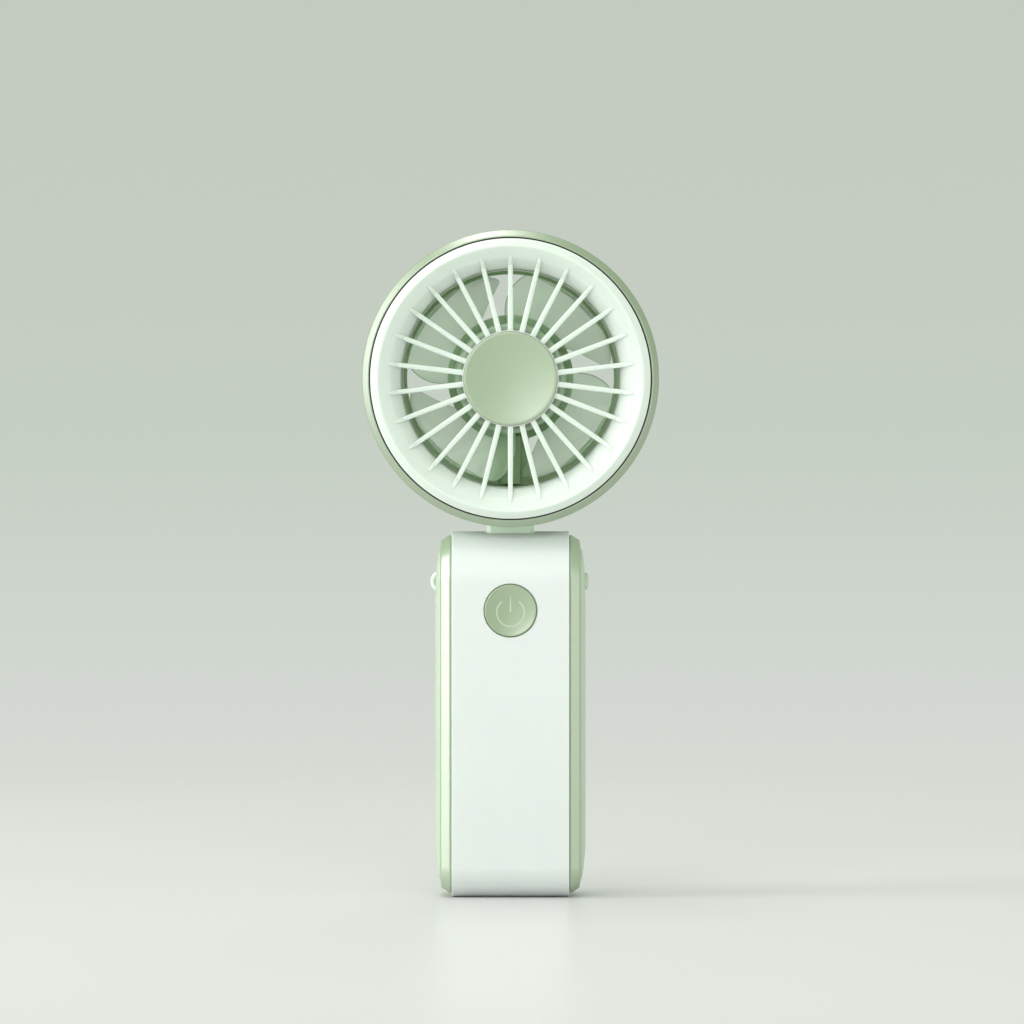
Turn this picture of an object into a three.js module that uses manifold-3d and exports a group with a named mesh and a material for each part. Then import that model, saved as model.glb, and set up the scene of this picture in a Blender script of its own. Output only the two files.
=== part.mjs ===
// Pocket electric fan on a slim handle, whose flat end is also its stand.
// Units are millimetres. +Z is up, +X is to the right, and the fan blows towards -Y.
// The origin is the middle of the flat base.

import * as THREE from 'three';
import { mergeVertices } from 'three/addons/utils/BufferGeometryUtils.js';
import Module from 'manifold-3d';

const wasm = await Module();
wasm.setup();

// ---------------------------------------------------------------- driving dimensions

const HANDLE_HEIGHT = 94.7;
const HALF_DEPTH = 13;
const BASE_CORNER = 8;
const BAND_WIDTH = 30.5;
const BAND_WALL = 1.8;

const HEAD_Z = 134.5;
const SHELL_RADIUS = 38.4;
const SHELL_WALL = 1.5;
const DUCT_RADIUS = 28.1;
const DUCT_WALL = 1.3;
const BEZEL_RADIUS = 36.2;
const REAR_Y = 13.6;
const SPOKE_COUNT = 26;
const GRILLE_HUB_RADIUS = 12.5;

const IMPELLER_RADIUS = 27;
const HUB_RADIUS = 14.3;
const BLADE_COUNT = 4;
const BLADE_THICKNESS = 1.1;
const PLATE_RADIUS = 16.4;
const PLATE_Y = 6;

const SHAFT_RADIUS = 1;
const BEARING_RADIUS = 2.5;
const STATOR_RADIUS = 10.3;
const MAGNET_RADIUS = 11.9;
const CAN_RADIUS = 12.75;
const MOTOR_SCREW_CIRCLE = 7.3;

const NECK_WIDTH = 12.3;
const NECK_THICKNESS = 5.8;
const NECK_CHAMFER = 1;
const NECK_TOP = 104.5;
const DRUM_RADIUS = 7.5;
const PIN_RADIUS = 2;
const PLATE_THICKNESS = 2.4;
const STRUT_THICKNESS = 3.2;
const WIRE_DUCT_RADIUS = 1.35;

const BUTTON_Z = 74.55;
const BUTTON_RADIUS = 6.85;
const BOARD_Y = -8.6;

const CELL_RADIUS = 9.1;
const CELL_LENGTH = 49.5;
const CELL_Z = 15;
const CELL_Y = 0.6;

const PORT_Z = 11;
const PORT_WIDTH = 9;
const PORT_HEIGHT = 3.2;
const DIMPLE_DEPTH_X = 3.45;
const DIMPLE_RADIUS = 3.6;
const LOOP_RADIUS = 2.4;
const LOOP_WIRE = 0.6;
const CAP_RADIUS = 2.25;
const SCREW_RADIUS = 0.75;
const SCREW_HEAD = 1.6;
const SCREW_HEAD_HEIGHT = 0.8;
const GAP = 0.3;

// Values that follow from the driving dimensions.
const FOLD_Z = HANDLE_HEIGHT - HALF_DEPTH;
const SIDE_X = BAND_WIDTH / 2;
const SPOKE_PITCH = 360 / SPOKE_COUNT;
const LATHE_STEPS = 2 * SPOKE_COUNT;
const HUB_STEPS = SPOKE_COUNT;
const BOSS_ANGLES = [90, 210, 330];
const BOSS_CIRCLE = 31.9;
const DUCT_BOTTOM = HEAD_Z - DUCT_RADIUS;
const PLATE_BACK = PLATE_Y + PLATE_THICKNESS;
const STRUT_BACK = PLATE_Y + STRUT_THICKNESS;
const DIMPLE_X = SIDE_X + DIMPLE_DEPTH_X;

// ---------------------------------------------------------------- materials

const paint = (color, roughness, metalness = 0) => ({ color, roughness, metalness });

const FINISH = {
  paleMint: paint(0xe7f2ea, 0.42),
  neckMint: paint(0xb8d6b4, 0.42),
  grilleWhite: paint(0xeef6ec, 0.4),
  satinMint: paint(0xbfd2b2, 0.32),
  metallicMint: paint(0xb7cbb0, 0.28, 0.35),
  shadedMint: paint(0x8fae80, 0.45),
  bladeMint: paint(0xb4c9a8, 0.2),
  innerGreen: paint(0x7f9f72, 0.55),
  black: paint(0x17191a, 0.6),
  steel: paint(0xb9bcbe, 0.3, 0.9),
  brass: paint(0xb08d4f, 0.35, 0.9),
  boardGreen: paint(0x1f5a36, 0.5),
  cellBlue: paint(0x2f6f9e, 0.35),
  wireRed: paint(0xb5332b, 0.5),
  wireBlack: paint(0x1c1c1e, 0.5),
  copper: paint(0xa8642f, 0.4, 0.7),
};

// ---------------------------------------------------------------- geometry helpers

const radians = (degrees) => (degrees * Math.PI) / 180;

// Joins shared corners, drops collapsed triangles and turns every face outwards.
function closed(geometry) {
  const bare = geometry.clone();
  for (const name of Object.keys(bare.attributes)) {
    if (name !== 'position') bare.deleteAttribute(name);
  }
  const merged = mergeVertices(bare, 1e-4);
  const place = merged.getAttribute('position');
  const corners = merged.getIndex().array;
  const kept = [];
  let volume = 0;
  for (let i = 0; i < corners.length; i += 3) {
    const [a, b, c] = [corners[i], corners[i + 1], corners[i + 2]];
    if (a === b || b === c || c === a) continue;
    kept.push([a, b, c]);
    const [p, q, r] = [a, b, c].map((k) => new THREE.Vector3().fromBufferAttribute(place, k));
    volume += p.dot(q.cross(r));
  }
  if (volume < 0) kept.forEach((triangle) => triangle.reverse());
  merged.setIndex(kept.flat());
  return merged;
}

function solid(geometry) {
  const mesh = closed(geometry);
  const vertProperties = new Float32Array(mesh.getAttribute('position').array);
  const triVerts = new Uint32Array(mesh.getIndex().array);
  return new wasm.Manifold(new wasm.Mesh({ numProp: 3, vertProperties, triVerts }));
}

function geometryOf(manifold) {
  const mesh = manifold.getMesh();
  const geometry = new THREE.BufferGeometry();
  geometry.setAttribute('position', new THREE.BufferAttribute(mesh.vertProperties, 3));
  geometry.setIndex(new THREE.BufferAttribute(mesh.triVerts, 1));
  return geometry;
}

const join = (solids) => solids.reduce((whole, next) => whole.add(next));
const cut = (whole, tools) => tools.reduce((rest, tool) => rest.subtract(tool), whole);

// A box given by its lowest and highest corners.
function block(low, high) {
  const size = high.map((value, i) => value - low[i]);
  const middle = high.map((value, i) => (value + low[i]) / 2);
  return new THREE.BoxGeometry(...size).translate(...middle);
}

// A round bar along X, or along Y, between two stations of that axis.
function barX(radius, from, to, y, z, steps = 20) {
  const bar = new THREE.CylinderGeometry(radius, radius, to - from, steps);
  return bar.rotateZ(Math.PI / 2).translate((from + to) / 2, y, z);
}

function barY(radius, from, to, x, z, steps = 20) {
  const bar = new THREE.CylinderGeometry(radius, radius, to - from, steps);
  return bar.translate(x, (from + to) / 2, z);
}

// A turned piece around the head's axis; the outline's points are [radius, y].
function turned(outline, z = HEAD_Z, steps = LATHE_STEPS) {
  const points = outline.map(([radius, y]) => new THREE.Vector2(radius, y));
  return new THREE.LatheGeometry(points, steps).translate(0, 0, z);
}

const ring = (outline, z, steps) => turned([...outline, outline[0]], z, steps);

// A point on a circle around the head's axis, in the plane of the head's face.
function onHead(radius, degrees) {
  const angle = radians(degrees);
  return [radius * Math.cos(angle), HEAD_Z + radius * Math.sin(angle)];
}

// A flat outline of [y, z] points, given a thickness along X.
function slabX(points, from, to) {
  const shape = new THREE.Shape(points.map(([y, z]) => new THREE.Vector2(y, z)));
  return alongX(new THREE.ExtrudeGeometry(shape, { depth: to - from, bevelEnabled: false }), from);
}

function alongX(geometry, from) {
  const turn = new THREE.Matrix4().makeBasis(
    new THREE.Vector3(0, 1, 0),
    new THREE.Vector3(0, 0, 1),
    new THREE.Vector3(1, 0, 0),
  );
  return geometry.applyMatrix4(turn).translate(from, 0, 0);
}

// A round wire that follows a smooth curve through the given points.
function wire(points, radius, steps, sides = 6) {
  const path = new THREE.CatmullRomCurve3(points.map((p) => new THREE.Vector3(...p)));
  const section = new THREE.Shape();
  section.absarc(0, 0, radius, 0, 2 * Math.PI);
  const options = { steps, extrudePath: path, bevelEnabled: false, curveSegments: sides / 2 };
  return new THREE.ExtrudeGeometry(section, options);
}

// ---------------------------------------------------------------- handle outline

// The handle's side outline, moved inwards: flat base, two round corners, half-round top.
function handleOutline(inset, cornerSteps = 4, topSteps = 16) {
  const half = HALF_DEPTH - inset;
  const corner = Math.max(BASE_CORNER - inset, 0.5);
  const arc = (y, z, radius, from, to, steps) =>
    Array.from({ length: steps + 1 }, (_, i) => {
      const angle = radians(from + ((to - from) * i) / steps);
      return [y + radius * Math.cos(angle), z + radius * Math.sin(angle)];
    });
  return [
    ...arc(corner - half, inset + corner, corner, 180, 270, cornerSteps),
    ...arc(half - corner, inset + corner, corner, 270, 360, cornerSteps),
    ...arc(0, FOLD_Z, half, 0, 180, topSteps),
  ];
}

// A skin through outlines that share their number of points. Each station is [x, inset].
function outlineSkin(stations, { looped }) {
  const rings = stations.map(([x, inset]) => handleOutline(inset).map(([y, z]) => [x, y, z]));
  const count = rings[0].length;
  const points = rings.flat();
  const faces = [];
  const last = looped ? rings.length : rings.length - 1;
  for (let i = 0; i < last; i += 1) {
    const next = (i + 1) % rings.length;
    for (let j = 0; j < count; j += 1) {
      const k = (j + 1) % count;
      const [a, b, c, d] = [i * count + j, i * count + k, next * count + k, next * count + j];
      faces.push(a, b, c, a, c, d);
    }
  }
  if (!looped) {
    for (const start of [0, (rings.length - 1) * count]) {
      const middle = points.length;
      points.push([points[start][0], 0, HANDLE_HEIGHT / 2]);
      for (let j = 0; j < count; j += 1) {
        const [a, b] = [start + j, start + ((j + 1) % count)];
        faces.push(...(start === 0 ? [middle, b, a] : [middle, a, b]));
      }
    }
  }
  const geometry = new THREE.BufferGeometry();
  geometry.setAttribute('position', new THREE.Float32BufferAttribute(points.flat(), 3));
  geometry.setIndex(faces);
  return geometry;
}

// ---------------------------------------------------------------- handle: outer shells

// One wrap-around sleeve is the handle's front, top, back and base.
function handleBand() {
  const shape = new THREE.Shape(handleOutline(0).map((p) => new THREE.Vector2(...p)));
  const inside = handleOutline(BAND_WALL).map((p) => new THREE.Vector2(...p));
  shape.holes.push(new THREE.Path(inside));
  const options = { depth: BAND_WIDTH, bevelEnabled: false };
  const sleeve = solid(alongX(new THREE.ExtrudeGeometry(shape, options), -SIDE_X));
  const half = NECK_WIDTH / 2 + 0.35;
  const front = -NECK_THICKNESS / 2 - GAP;
  const slot = block([-half, front, FOLD_Z + front], [half, HALF_DEPTH + 1, HANDLE_HEIGHT + 1]);
  const buttonHole = barY(BUTTON_RADIUS + 0.22, -HALF_DEPTH - 1, -HALF_DEPTH + 3, 0, BUTTON_Z, 32);
  return geometryOf(cut(sleeve, [solid(slot), solid(buttonHole), solid(portOpening())]));
}

function portOpening() {
  const height = PORT_HEIGHT + 1;
  const straight = PORT_WIDTH - PORT_HEIGHT;
  const ends = [-1, 1].map((side) => {
    return solid(barY(height / 2, HALF_DEPTH - 3, HALF_DEPTH + 1, (side * straight) / 2, PORT_Z));
  });
  const low = [-straight / 2, HALF_DEPTH - 3, PORT_Z - height / 2];
  const high = [straight / 2, HALF_DEPTH + 1, PORT_Z + height / 2];
  return geometryOf(join([solid(block(low, high)), ...ends]));
}

// Places of the two screws on each side, as [y, z].
const SIDE_SCREWS = { low: [5, 24], high: [5, 56] };

// A bright trim ring that chamfers the handle's edge, with a flange behind the side panel.
function sideFrame(side) {
  const section = [
    [0.15, 0.7],
    [2.6, 2.4],
    [2.95, 3.1],
    [3, 4.1],
    [1.3, 4.2],
    [1.3, 10],
    [0.15, 10],
  ];
  const stations = section.map(([out, inset]) => [side * (SIDE_X + out), inset]);
  const holes = Object.values(SIDE_SCREWS).map(([y, z]) => {
    return solid(barX(1, side > 0 ? 15 : -17, side > 0 ? 17 : -15, y, z, 10));
  });
  return geometryOf(cut(solid(outlineSkin(stations, { looped: true })), holes));
}

// A pillowed side cover, thin-walled, with a round dimple on the hinge's axis.
function sidePanel(side) {
  const section = [
    [2.55, 12],
    [2.35, 6.6],
    [1.45, 5.7],
    [1.45, 4.5],
    [3.2, 4.5],
    [3.65, 6.2],
    [4.05, 9.8],
    [4.3, 12.2],
  ];
  const stations = section.map(([out, inset]) => [side * (SIDE_X + out), inset]);
  const panel = solid(outlineSkin(stations, { looped: false }));
  const mouth = DIMPLE_X + 3;
  const [from, to] = side > 0 ? [DIMPLE_X, mouth] : [-mouth, -DIMPLE_X];
  const dimple = barX(DIMPLE_RADIUS, from, to, 0, FOLD_Z, 24);
  return geometryOf(panel.subtract(solid(dimple)));
}

// A flat staple to tie a lanyard to, standing in the left panel's dimple.
function lanyardLoop() {
  const centre = 17.8;
  const foot = DIMPLE_X + 0.06;
  const steps = 10;
  const arc = (radius, direction) => {
    const open = Math.acos((foot - centre) / radius);
    return Array.from({ length: steps + 1 }, (_, i) => {
      const angle = direction * open * (1 - (2 * i) / steps);
      return new THREE.Vector2(-centre - radius * Math.cos(angle), FOLD_Z + radius * Math.sin(angle));
    });
  };
  const outline = [...arc(LOOP_RADIUS + LOOP_WIRE, 1), ...arc(LOOP_RADIUS - LOOP_WIRE, -1)];
  const options = { depth: 2 * LOOP_WIRE, bevelEnabled: false };
  const staple = new THREE.ExtrudeGeometry(new THREE.Shape(outline), options);
  return staple.rotateX(Math.PI / 2).translate(0, LOOP_WIRE, 0);
}

// A round cap stands in the right panel's dimple.
function hingeCap() {
  const [foot, face] = [DIMPLE_X + 0.06, DIMPLE_X + 1.7];
  const outline = [
    [0, foot],
    [CAP_RADIUS, foot],
    [CAP_RADIUS, face - 0.5],
    [CAP_RADIUS - 0.5, face],
    [0, face],
  ];
  return turned(outline, 0, 24).rotateZ(-Math.PI / 2).translate(0, 0, FOLD_Z);
}

// ---------------------------------------------------------------- handle: inside

// One moulding cradles the cell, carries both boards and forms the hinge's two ears.
function chassis() {
  const top = CELL_Z + CELL_LENGTH + 1.8;
  const yokeTop = FOLD_Z - DRUM_RADIUS - 0.8;
  const sides = [-1, 1].flatMap((side) => {
    const span = (a, b) => (side > 0 ? [a, b] : [-b, -a]);
    const [wallLow, wallHigh] = span(13, 14.8);
    const [ledgeLow, ledgeHigh] = span(9, 14.8);
    const [earLow, earHigh] = span(NECK_WIDTH / 2 + 0.6, 9);
    return [
      solid(block([wallLow, -1, 2.4], [wallHigh, 6, CELL_Z - 1])),
      solid(block([ledgeLow, -1, 2.4], [ledgeHigh, 6, PORT_Z - GAP - 2.7])),
      solid(slabX(earOutline(), earLow, earHigh)),
    ];
  });
  const cradle = solid(block([-14.8, -1, CELL_Z - 1.5], [14.8, 10.8, top]));
  const yoke = solid(block([-9, -7.6, top - 0.5], [9, 10.8, yokeTop]));
  const body = join([cradle, yoke, ...sides]);
  const cellPocket = new THREE.CylinderGeometry(CELL_RADIUS + 0.2, CELL_RADIUS + 0.2, CELL_LENGTH + 0.3, 36);
  cellPocket.rotateX(Math.PI / 2).translate(0, CELL_Y, CELL_Z + CELL_LENGTH / 2);
  const mouth = block([-8, -2, CELL_Z - 0.15], [8, CELL_Y, CELL_Z + CELL_LENGTH + 0.15]);
  const pinHole = barX(PIN_RADIUS + 0.05, -10, 10, 0, FOLD_Z);
  const screwHoles = [-1, 1].flatMap((side) =>
    Object.values(SIDE_SCREWS).map(([y, z]) => {
      return solid(barX(SCREW_RADIUS + 0.1, side > 0 ? 9.8 : -15, side > 0 ? 15 : -9.8, y, z, 10));
    }),
  );
  return geometryOf(cut(body, [solid(cellPocket), solid(mouth), solid(pinHole), ...screwHoles]));
}

function earOutline() {
  const radius = HALF_DEPTH - BAND_WALL - GAP;
  const front = -7.6;
  const start = Math.acos(front / radius);
  const arc = Array.from({ length: 15 }, (_, i) => {
    const angle = (start * i) / 14;
    return [radius * Math.cos(angle), FOLD_Z + radius * Math.sin(angle)];
  });
  const floor = FOLD_Z - DRUM_RADIUS - 5;
  return [...arc, [front, floor], [radius, floor]];
}

function batteryCell() {
  const outline = [
    [0, 0],
    [CELL_RADIUS - 0.6, 0],
    [CELL_RADIUS, 0.6],
    [CELL_RADIUS, CELL_LENGTH - 1.6],
    [CELL_RADIUS - 0.7, CELL_LENGTH - 0.9],
    [3, CELL_LENGTH - 0.9],
    [2.8, CELL_LENGTH],
    [0, CELL_LENGTH],
  ];
  return turned(outline, 0, 28).rotateX(Math.PI / 2).translate(0, CELL_Y, CELL_Z);
}

const controlBoard = () => block([-10.5, BOARD_Y, 66], [10.5, BOARD_Y + 0.8, 80]);

function tactSwitch() {
  const body = block([-2.5, BOARD_Y - 0.8, BUTTON_Z - 2.5], [2.5, BOARD_Y - 0.02, BUTTON_Z + 2.5]);
  const bore = barY(1.45, BOARD_Y - 1, BOARD_Y - 0.1, 0, BUTTON_Z);
  return geometryOf(solid(body).subtract(solid(bore)));
}

const switchPlunger = () => barY(1.3, BOARD_Y - 1.38, BOARD_Y - 0.58, 0, BUTTON_Z);

// The button is dished for the thumb; its flange holds it behind the sleeve.
function powerButton() {
  const front = -HALF_DEPTH;
  const flange = front + BAND_WALL + 0.15;
  const outline = [
    [0, front + 0.4],
    [3.5, front + 0.3],
    [6.6, front - 0.12],
    [BUTTON_RADIUS, front + 0.15],
    [BUTTON_RADIUS, flange],
    [BUTTON_RADIUS + 0.9, flange],
    [BUTTON_RADIUS + 0.9, flange + 0.6],
    [1.6, flange + 0.6],
    [1.6, BOARD_Y - 1.43],
    [0, BOARD_Y - 1.43],
  ];
  return turned(outline, BUTTON_Z, 26);
}

const chargingBoard = () => block([-12.5, -1, PORT_Z - 2.7], [12.5, 10.4, PORT_Z - 1.9]);

// A reversible charging socket: a rounded metal sleeve with a contact tongue.
function chargingPort() {
  const [back, front] = [5, HALF_DEPTH - 0.4];
  const roundBar = (width, height, from, to) => {
    const radius = height / 2;
    const straight = (width - height) / 2;
    const ends = [-straight, straight].map((x) => solid(barY(radius, from, to, x, PORT_Z, 16)));
    const middle = block([-straight, from, PORT_Z - radius], [straight, to, PORT_Z + radius]);
    return join([solid(middle), ...ends]);
  };
  const outside = roundBar(PORT_WIDTH, PORT_HEIGHT, back, front);
  const sleeve = outside.subtract(roundBar(PORT_WIDTH - 0.6, PORT_HEIGHT - 0.6, back + 1.2, front + 1));
  const tongue = block([-3.2, back + 1, PORT_Z - 0.35], [3.2, front - 0.9, PORT_Z + 0.35]);
  return geometryOf(sleeve.add(solid(tongue)));
}

// Short leads lie in the free space in front of the cell.
function batteryLead(side) {
  const high = CELL_Z + CELL_LENGTH;
  return wire(
    [
      [side * 11.4, -2.2, PORT_Z - 1],
      [side * 11.4, -4.2, PORT_Z + 4],
      [side * 11.2, -5, 36],
      [side * 10.6, -6.2, high - 6],
      [side * 9.7, BOARD_Y + 1.5, high + 4.5],
    ],
    0.5,
    12,
  );
}

// ---------------------------------------------------------------- hinge and neck

// The neck: a hinge drum, an arm, and a jog that takes the arm back behind the air duct.
function neckArm() {
  const half = NECK_WIDTH / 2;
  const thick = NECK_THICKNESS / 2;
  const drum = solid(barX(DRUM_RADIUS, -half, half, 0, FOLD_Z, 30));
  const jog = [
    [-thick, 98.6],
    [thick, 98.6],
    [STRUT_BACK, 101.2],
    [STRUT_BACK, NECK_TOP],
    [PLATE_Y, NECK_TOP],
    [-thick, 99.6],
  ];
  const body = join([drum, solid(armGeometry(half, thick)), solid(slabX(jog, -half, half))]);
  const pinHole = barX(PIN_RADIUS + 0.05, -10, 10, 0, FOLD_Z);
  const sockets = [-1, 1].map((side) => solid(tenon(side, 0.15)));
  return geometryOf(cut(body, [solid(pinHole), solid(wireDuct()), ...sockets]));
}

// The arm has chamfered upright edges.
function armGeometry(half, thick) {
  const shape = new THREE.Shape([
    new THREE.Vector2(-half, -thick + NECK_CHAMFER),
    new THREE.Vector2(-half + NECK_CHAMFER, -thick),
    new THREE.Vector2(half - NECK_CHAMFER, -thick),
    new THREE.Vector2(half, -thick + NECK_CHAMFER),
    new THREE.Vector2(half, thick - NECK_CHAMFER),
    new THREE.Vector2(half - NECK_CHAMFER, thick),
    new THREE.Vector2(-half + NECK_CHAMFER, thick),
    new THREE.Vector2(-half, thick - NECK_CHAMFER),
  ]);
  const arm = new THREE.ExtrudeGeometry(shape, { depth: 99 - FOLD_Z, bevelEnabled: false });
  return arm.translate(0, 0, FOLD_Z);
}

// Two tenons under the bracket plug into sockets in the neck's top, one on each side of the leads.
function tenon(side, clearance) {
  const [near, far] = [2.6 - clearance, 4.8 + clearance];
  const low = [side > 0 ? near : -far, PLATE_Y + 0.9 - clearance, 101.9 - clearance];
  return block(low, [side > 0 ? far : -near, PLATE_Y + 2.3 + clearance, NECK_TOP + GAP + 0.5]);
}

// The bracket holds the motor behind the blades: a round plate on a flared strut.
function motorBracket() {
  const strut = solid(strutGeometry());
  const plate = solid(barY(PLATE_RADIUS, PLATE_Y, PLATE_BACK, 0, HEAD_Z, 30));
  const body = join([strut, plate, solid(tenon(-1, 0)), solid(tenon(1, 0))]);
  const channel = block([-1.6, PLATE_Y - 1, 107], [1.6, PLATE_Y + 1.4, HEAD_Z - 9]);
  const screwHoles = BOSS_ANGLES.flatMap((angle) => {
    const [x, z] = onHead(MOTOR_SCREW_CIRCLE, angle);
    const shank = barY(SCREW_RADIUS + 0.2, PLATE_Y - 1, PLATE_BACK + 1, x, z, 10);
    const head = barY(SCREW_HEAD + 0.2, PLATE_BACK - 0.9, PLATE_BACK + 1, x, z, 14);
    return [solid(shank), solid(head)];
  });
  return geometryOf(cut(body, [solid(channel), solid(wireDuct()), ...screwHoles]));
}

// The strut widens from the motor plate down to the duct wall.
function strutGeometry() {
  const [low, high] = [NECK_TOP + GAP, HEAD_Z - 14];
  const shape = new THREE.Shape([
    new THREE.Vector2(-6.4, low),
    new THREE.Vector2(6.4, low),
    new THREE.Vector2(4.5, high),
    new THREE.Vector2(-4.5, high),
  ]);
  const strut = new THREE.ExtrudeGeometry(shape, { depth: STRUT_THICKNESS, bevelEnabled: false });
  return strut.rotateX(Math.PI / 2).translate(0, STRUT_BACK, 0);
}

const wireDuct = () => wire(leadRoute(0), WIRE_DUCT_RADIUS, 16, 10);

// The way the motor's leads take: down the strut's channel, then down inside the arm.
function leadRoute(x) {
  return [
    [x, PLATE_Y + 0.75, HEAD_Z - 10.8],
    [x, PLATE_Y + 0.75, 112],
    [x, PLATE_Y + 0.75, 107],
    [x, 3.8, 101.6],
    [x, 0.5, 98.4],
    [x, 0, 94],
    [x, 0, FOLD_Z + 4.5],
  ];
}

function wireCover() {
  const low = [-2.7, PLATE_Y - 1, DUCT_BOTTOM + 0.4];
  return block(low, [2.7, PLATE_Y - 0.05, HEAD_Z - HUB_RADIUS - 0.6]);
}

const pivotPin = () => barX(PIN_RADIUS, -9, 9, 0, FOLD_Z);

function frictionWasher(side) {
  const [near, far] = [NECK_WIDTH / 2 + 0.08, NECK_WIDTH / 2 + 0.52];
  const outline = [[PIN_RADIUS + 0.1, near], [5.4, near], [5.4, far], [PIN_RADIUS + 0.1, far]];
  return ring(outline, 0, 24).rotateZ(side > 0 ? -Math.PI / 2 : Math.PI / 2).translate(0, 0, FOLD_Z);
}

// ---------------------------------------------------------------- head: shells and grilles

// The rear shell is a deep rounded cup with the air duct standing up in its middle.
function rearShell() {
  const inner = SHELL_RADIUS - SHELL_WALL;
  const ductOuter = DUCT_RADIUS + DUCT_WALL;
  const lip = BEZEL_RADIUS + 0.35;
  const shell = ring([
    [lip, -12.9],
    [37.4, -12.8],
    [SHELL_RADIUS, -11.2],
    [SHELL_RADIUS, 3],
    [37.6, 8.4],
    [35.4, 12.1],
    [31.5, REAR_Y],
    [DUCT_RADIUS, REAR_Y],
    [DUCT_RADIUS, -7],
    [ductOuter, -7],
    [ductOuter, 11.7],
    [33.4, 11.7],
    [inner, 2.5],
    [inner, -11.2],
    [lip, -11.2],
  ]);
  const half = NECK_WIDTH / 2 + 0.15;
  const thick = NECK_THICKNESS / 2 + 0.15;
  const neckWindow = block([-half, -thick, 94], [half, thick, 99.5]);
  const strutWindow = block([-6.8, PLATE_Y - 1.2, 103], [6.8, PLATE_Y + 3.5, DUCT_BOTTOM + 3]);
  const screwHoles = BOSS_ANGLES.flatMap((angle) => {
    const [x, z] = onHead(BOSS_CIRCLE, angle);
    return [
      solid(barY(SCREW_RADIUS + 0.25, 11, REAR_Y + 1, x, z, 10)),
      solid(barY(SCREW_HEAD + 0.25, REAR_Y - 1.1, REAR_Y + 1, x, z, 14)),
    ];
  });
  return geometryOf(cut(solid(shell), [solid(neckWindow), solid(strutWindow), ...screwHoles]));
}

// Bezel, funnel, spokes and hub of the front grille are one moulding.
function frontGrille() {
  const bezel = ring([
    [BEZEL_RADIUS, -9.2],
    [BEZEL_RADIUS, -13.5],
    [34.6, -14.6],
    [33.9, -14.5],
    [30.8, -12.6],
    [29.15, -9.2],
    [28.35, -7.4],
    [30, -7.4],
    [30.5, -8.7],
    [31.9, -11],
    [34.3, -12.3],
    [34.9, -12.3],
    [34.9, -9.2],
  ]);
  const hub = turned([
    [0, -10.6],
    [12.1, -10.6],
    [12.2, -11.9],
    [GRILLE_HUB_RADIUS, -11.9],
    [GRILLE_HUB_RADIUS, -8.9],
    [0, -8.9],
  ], HEAD_Z, HUB_STEPS);
  const spokes = Array.from({ length: SPOKE_COUNT }, (_, i) => {
    return solid(spoke(90 + i * SPOKE_PITCH, 12.25, 31, [1.45, 1.15], [-11.35, -9.4]));
  });
  const bosses = BOSS_ANGLES.map((angle) => {
    const [x, z] = onHead(BOSS_CIRCLE, angle);
    const post = solid(barY(1.8, -11.1, 10.8, x, z, 12));
    return post.subtract(solid(barY(SCREW_RADIUS + 0.1, 4.5, 12, x, z, 10)));
  });
  return geometryOf(join([solid(bezel), solid(hub), ...spokes, ...bosses]));
}

// A radial bar that narrows outwards.
function spoke(degrees, from, to, [innerWidth, outerWidth], [front, back]) {
  const shape = new THREE.Shape([
    new THREE.Vector2(from, -innerWidth / 2),
    new THREE.Vector2(to, -outerWidth / 2),
    new THREE.Vector2(to, outerWidth / 2),
    new THREE.Vector2(from, innerWidth / 2),
  ]);
  const bar = new THREE.ExtrudeGeometry(shape, { depth: back - front, bevelEnabled: false });
  bar.rotateX(Math.PI / 2).translate(0, back, 0);
  return bar.rotateY(-radians(degrees)).translate(0, 0, HEAD_Z);
}

function centreCap() {
  return turned([
    [0, -11.15],
    [6, -11.25],
    [10, -11.6],
    [11.6, -11.88],
    [11.95, -11.75],
    [11.95, -10.65],
    [0, -10.65],
  ], HEAD_Z, HUB_STEPS);
}

function bezelGasket() {
  const [inner, outer] = [BEZEL_RADIUS + 0.05, BEZEL_RADIUS + 0.3];
  return ring([[inner, -11.4], [inner, -12.7], [outer, -12.7], [outer, -11.4]]);
}

// The rear grille lines up with the front one, so air and light pass straight through.
function rearGrille() {
  const outer = DUCT_RADIUS - 0.1;
  const lip = ring([[outer, 9.8], [outer, 13.4], [27, 13.4], [27, 9.8]]);
  const hub = turned([
    [0, 10.2],
    [PLATE_RADIUS, 10.2],
    [PLATE_RADIUS, 12.2],
    [15.6, 13],
    [0, 13],
  ], HEAD_Z, HUB_STEPS);
  const ribs = Array.from({ length: SPOKE_COUNT }, (_, i) => {
    return solid(spoke(90 + i * SPOKE_PITCH, 15.5, 27.4, [1, 1], [10.4, 12.4]));
  });
  return geometryOf(join([solid(lip), solid(hub), ...ribs]));
}

// ---------------------------------------------------------------- head: motor and impeller

function motorBase() {
  const base = ring([
    [10, PLATE_Y - 0.1],
    [10, 4.6],
    [3.4, 4.6],
    [3.4, -3.4],
    [BEARING_RADIUS + 0.05, -3.4],
    [BEARING_RADIUS + 0.05, PLATE_Y - 0.1],
  ], HEAD_Z, 24);
  const holes = BOSS_ANGLES.map((angle) => {
    const [x, z] = onHead(MOTOR_SCREW_CIRCLE, angle);
    return solid(barY(SCREW_RADIUS + 0.1, 4, PLATE_Y + 1, x, z, 10));
  });
  return geometryOf(cut(solid(base), holes));
}

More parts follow.
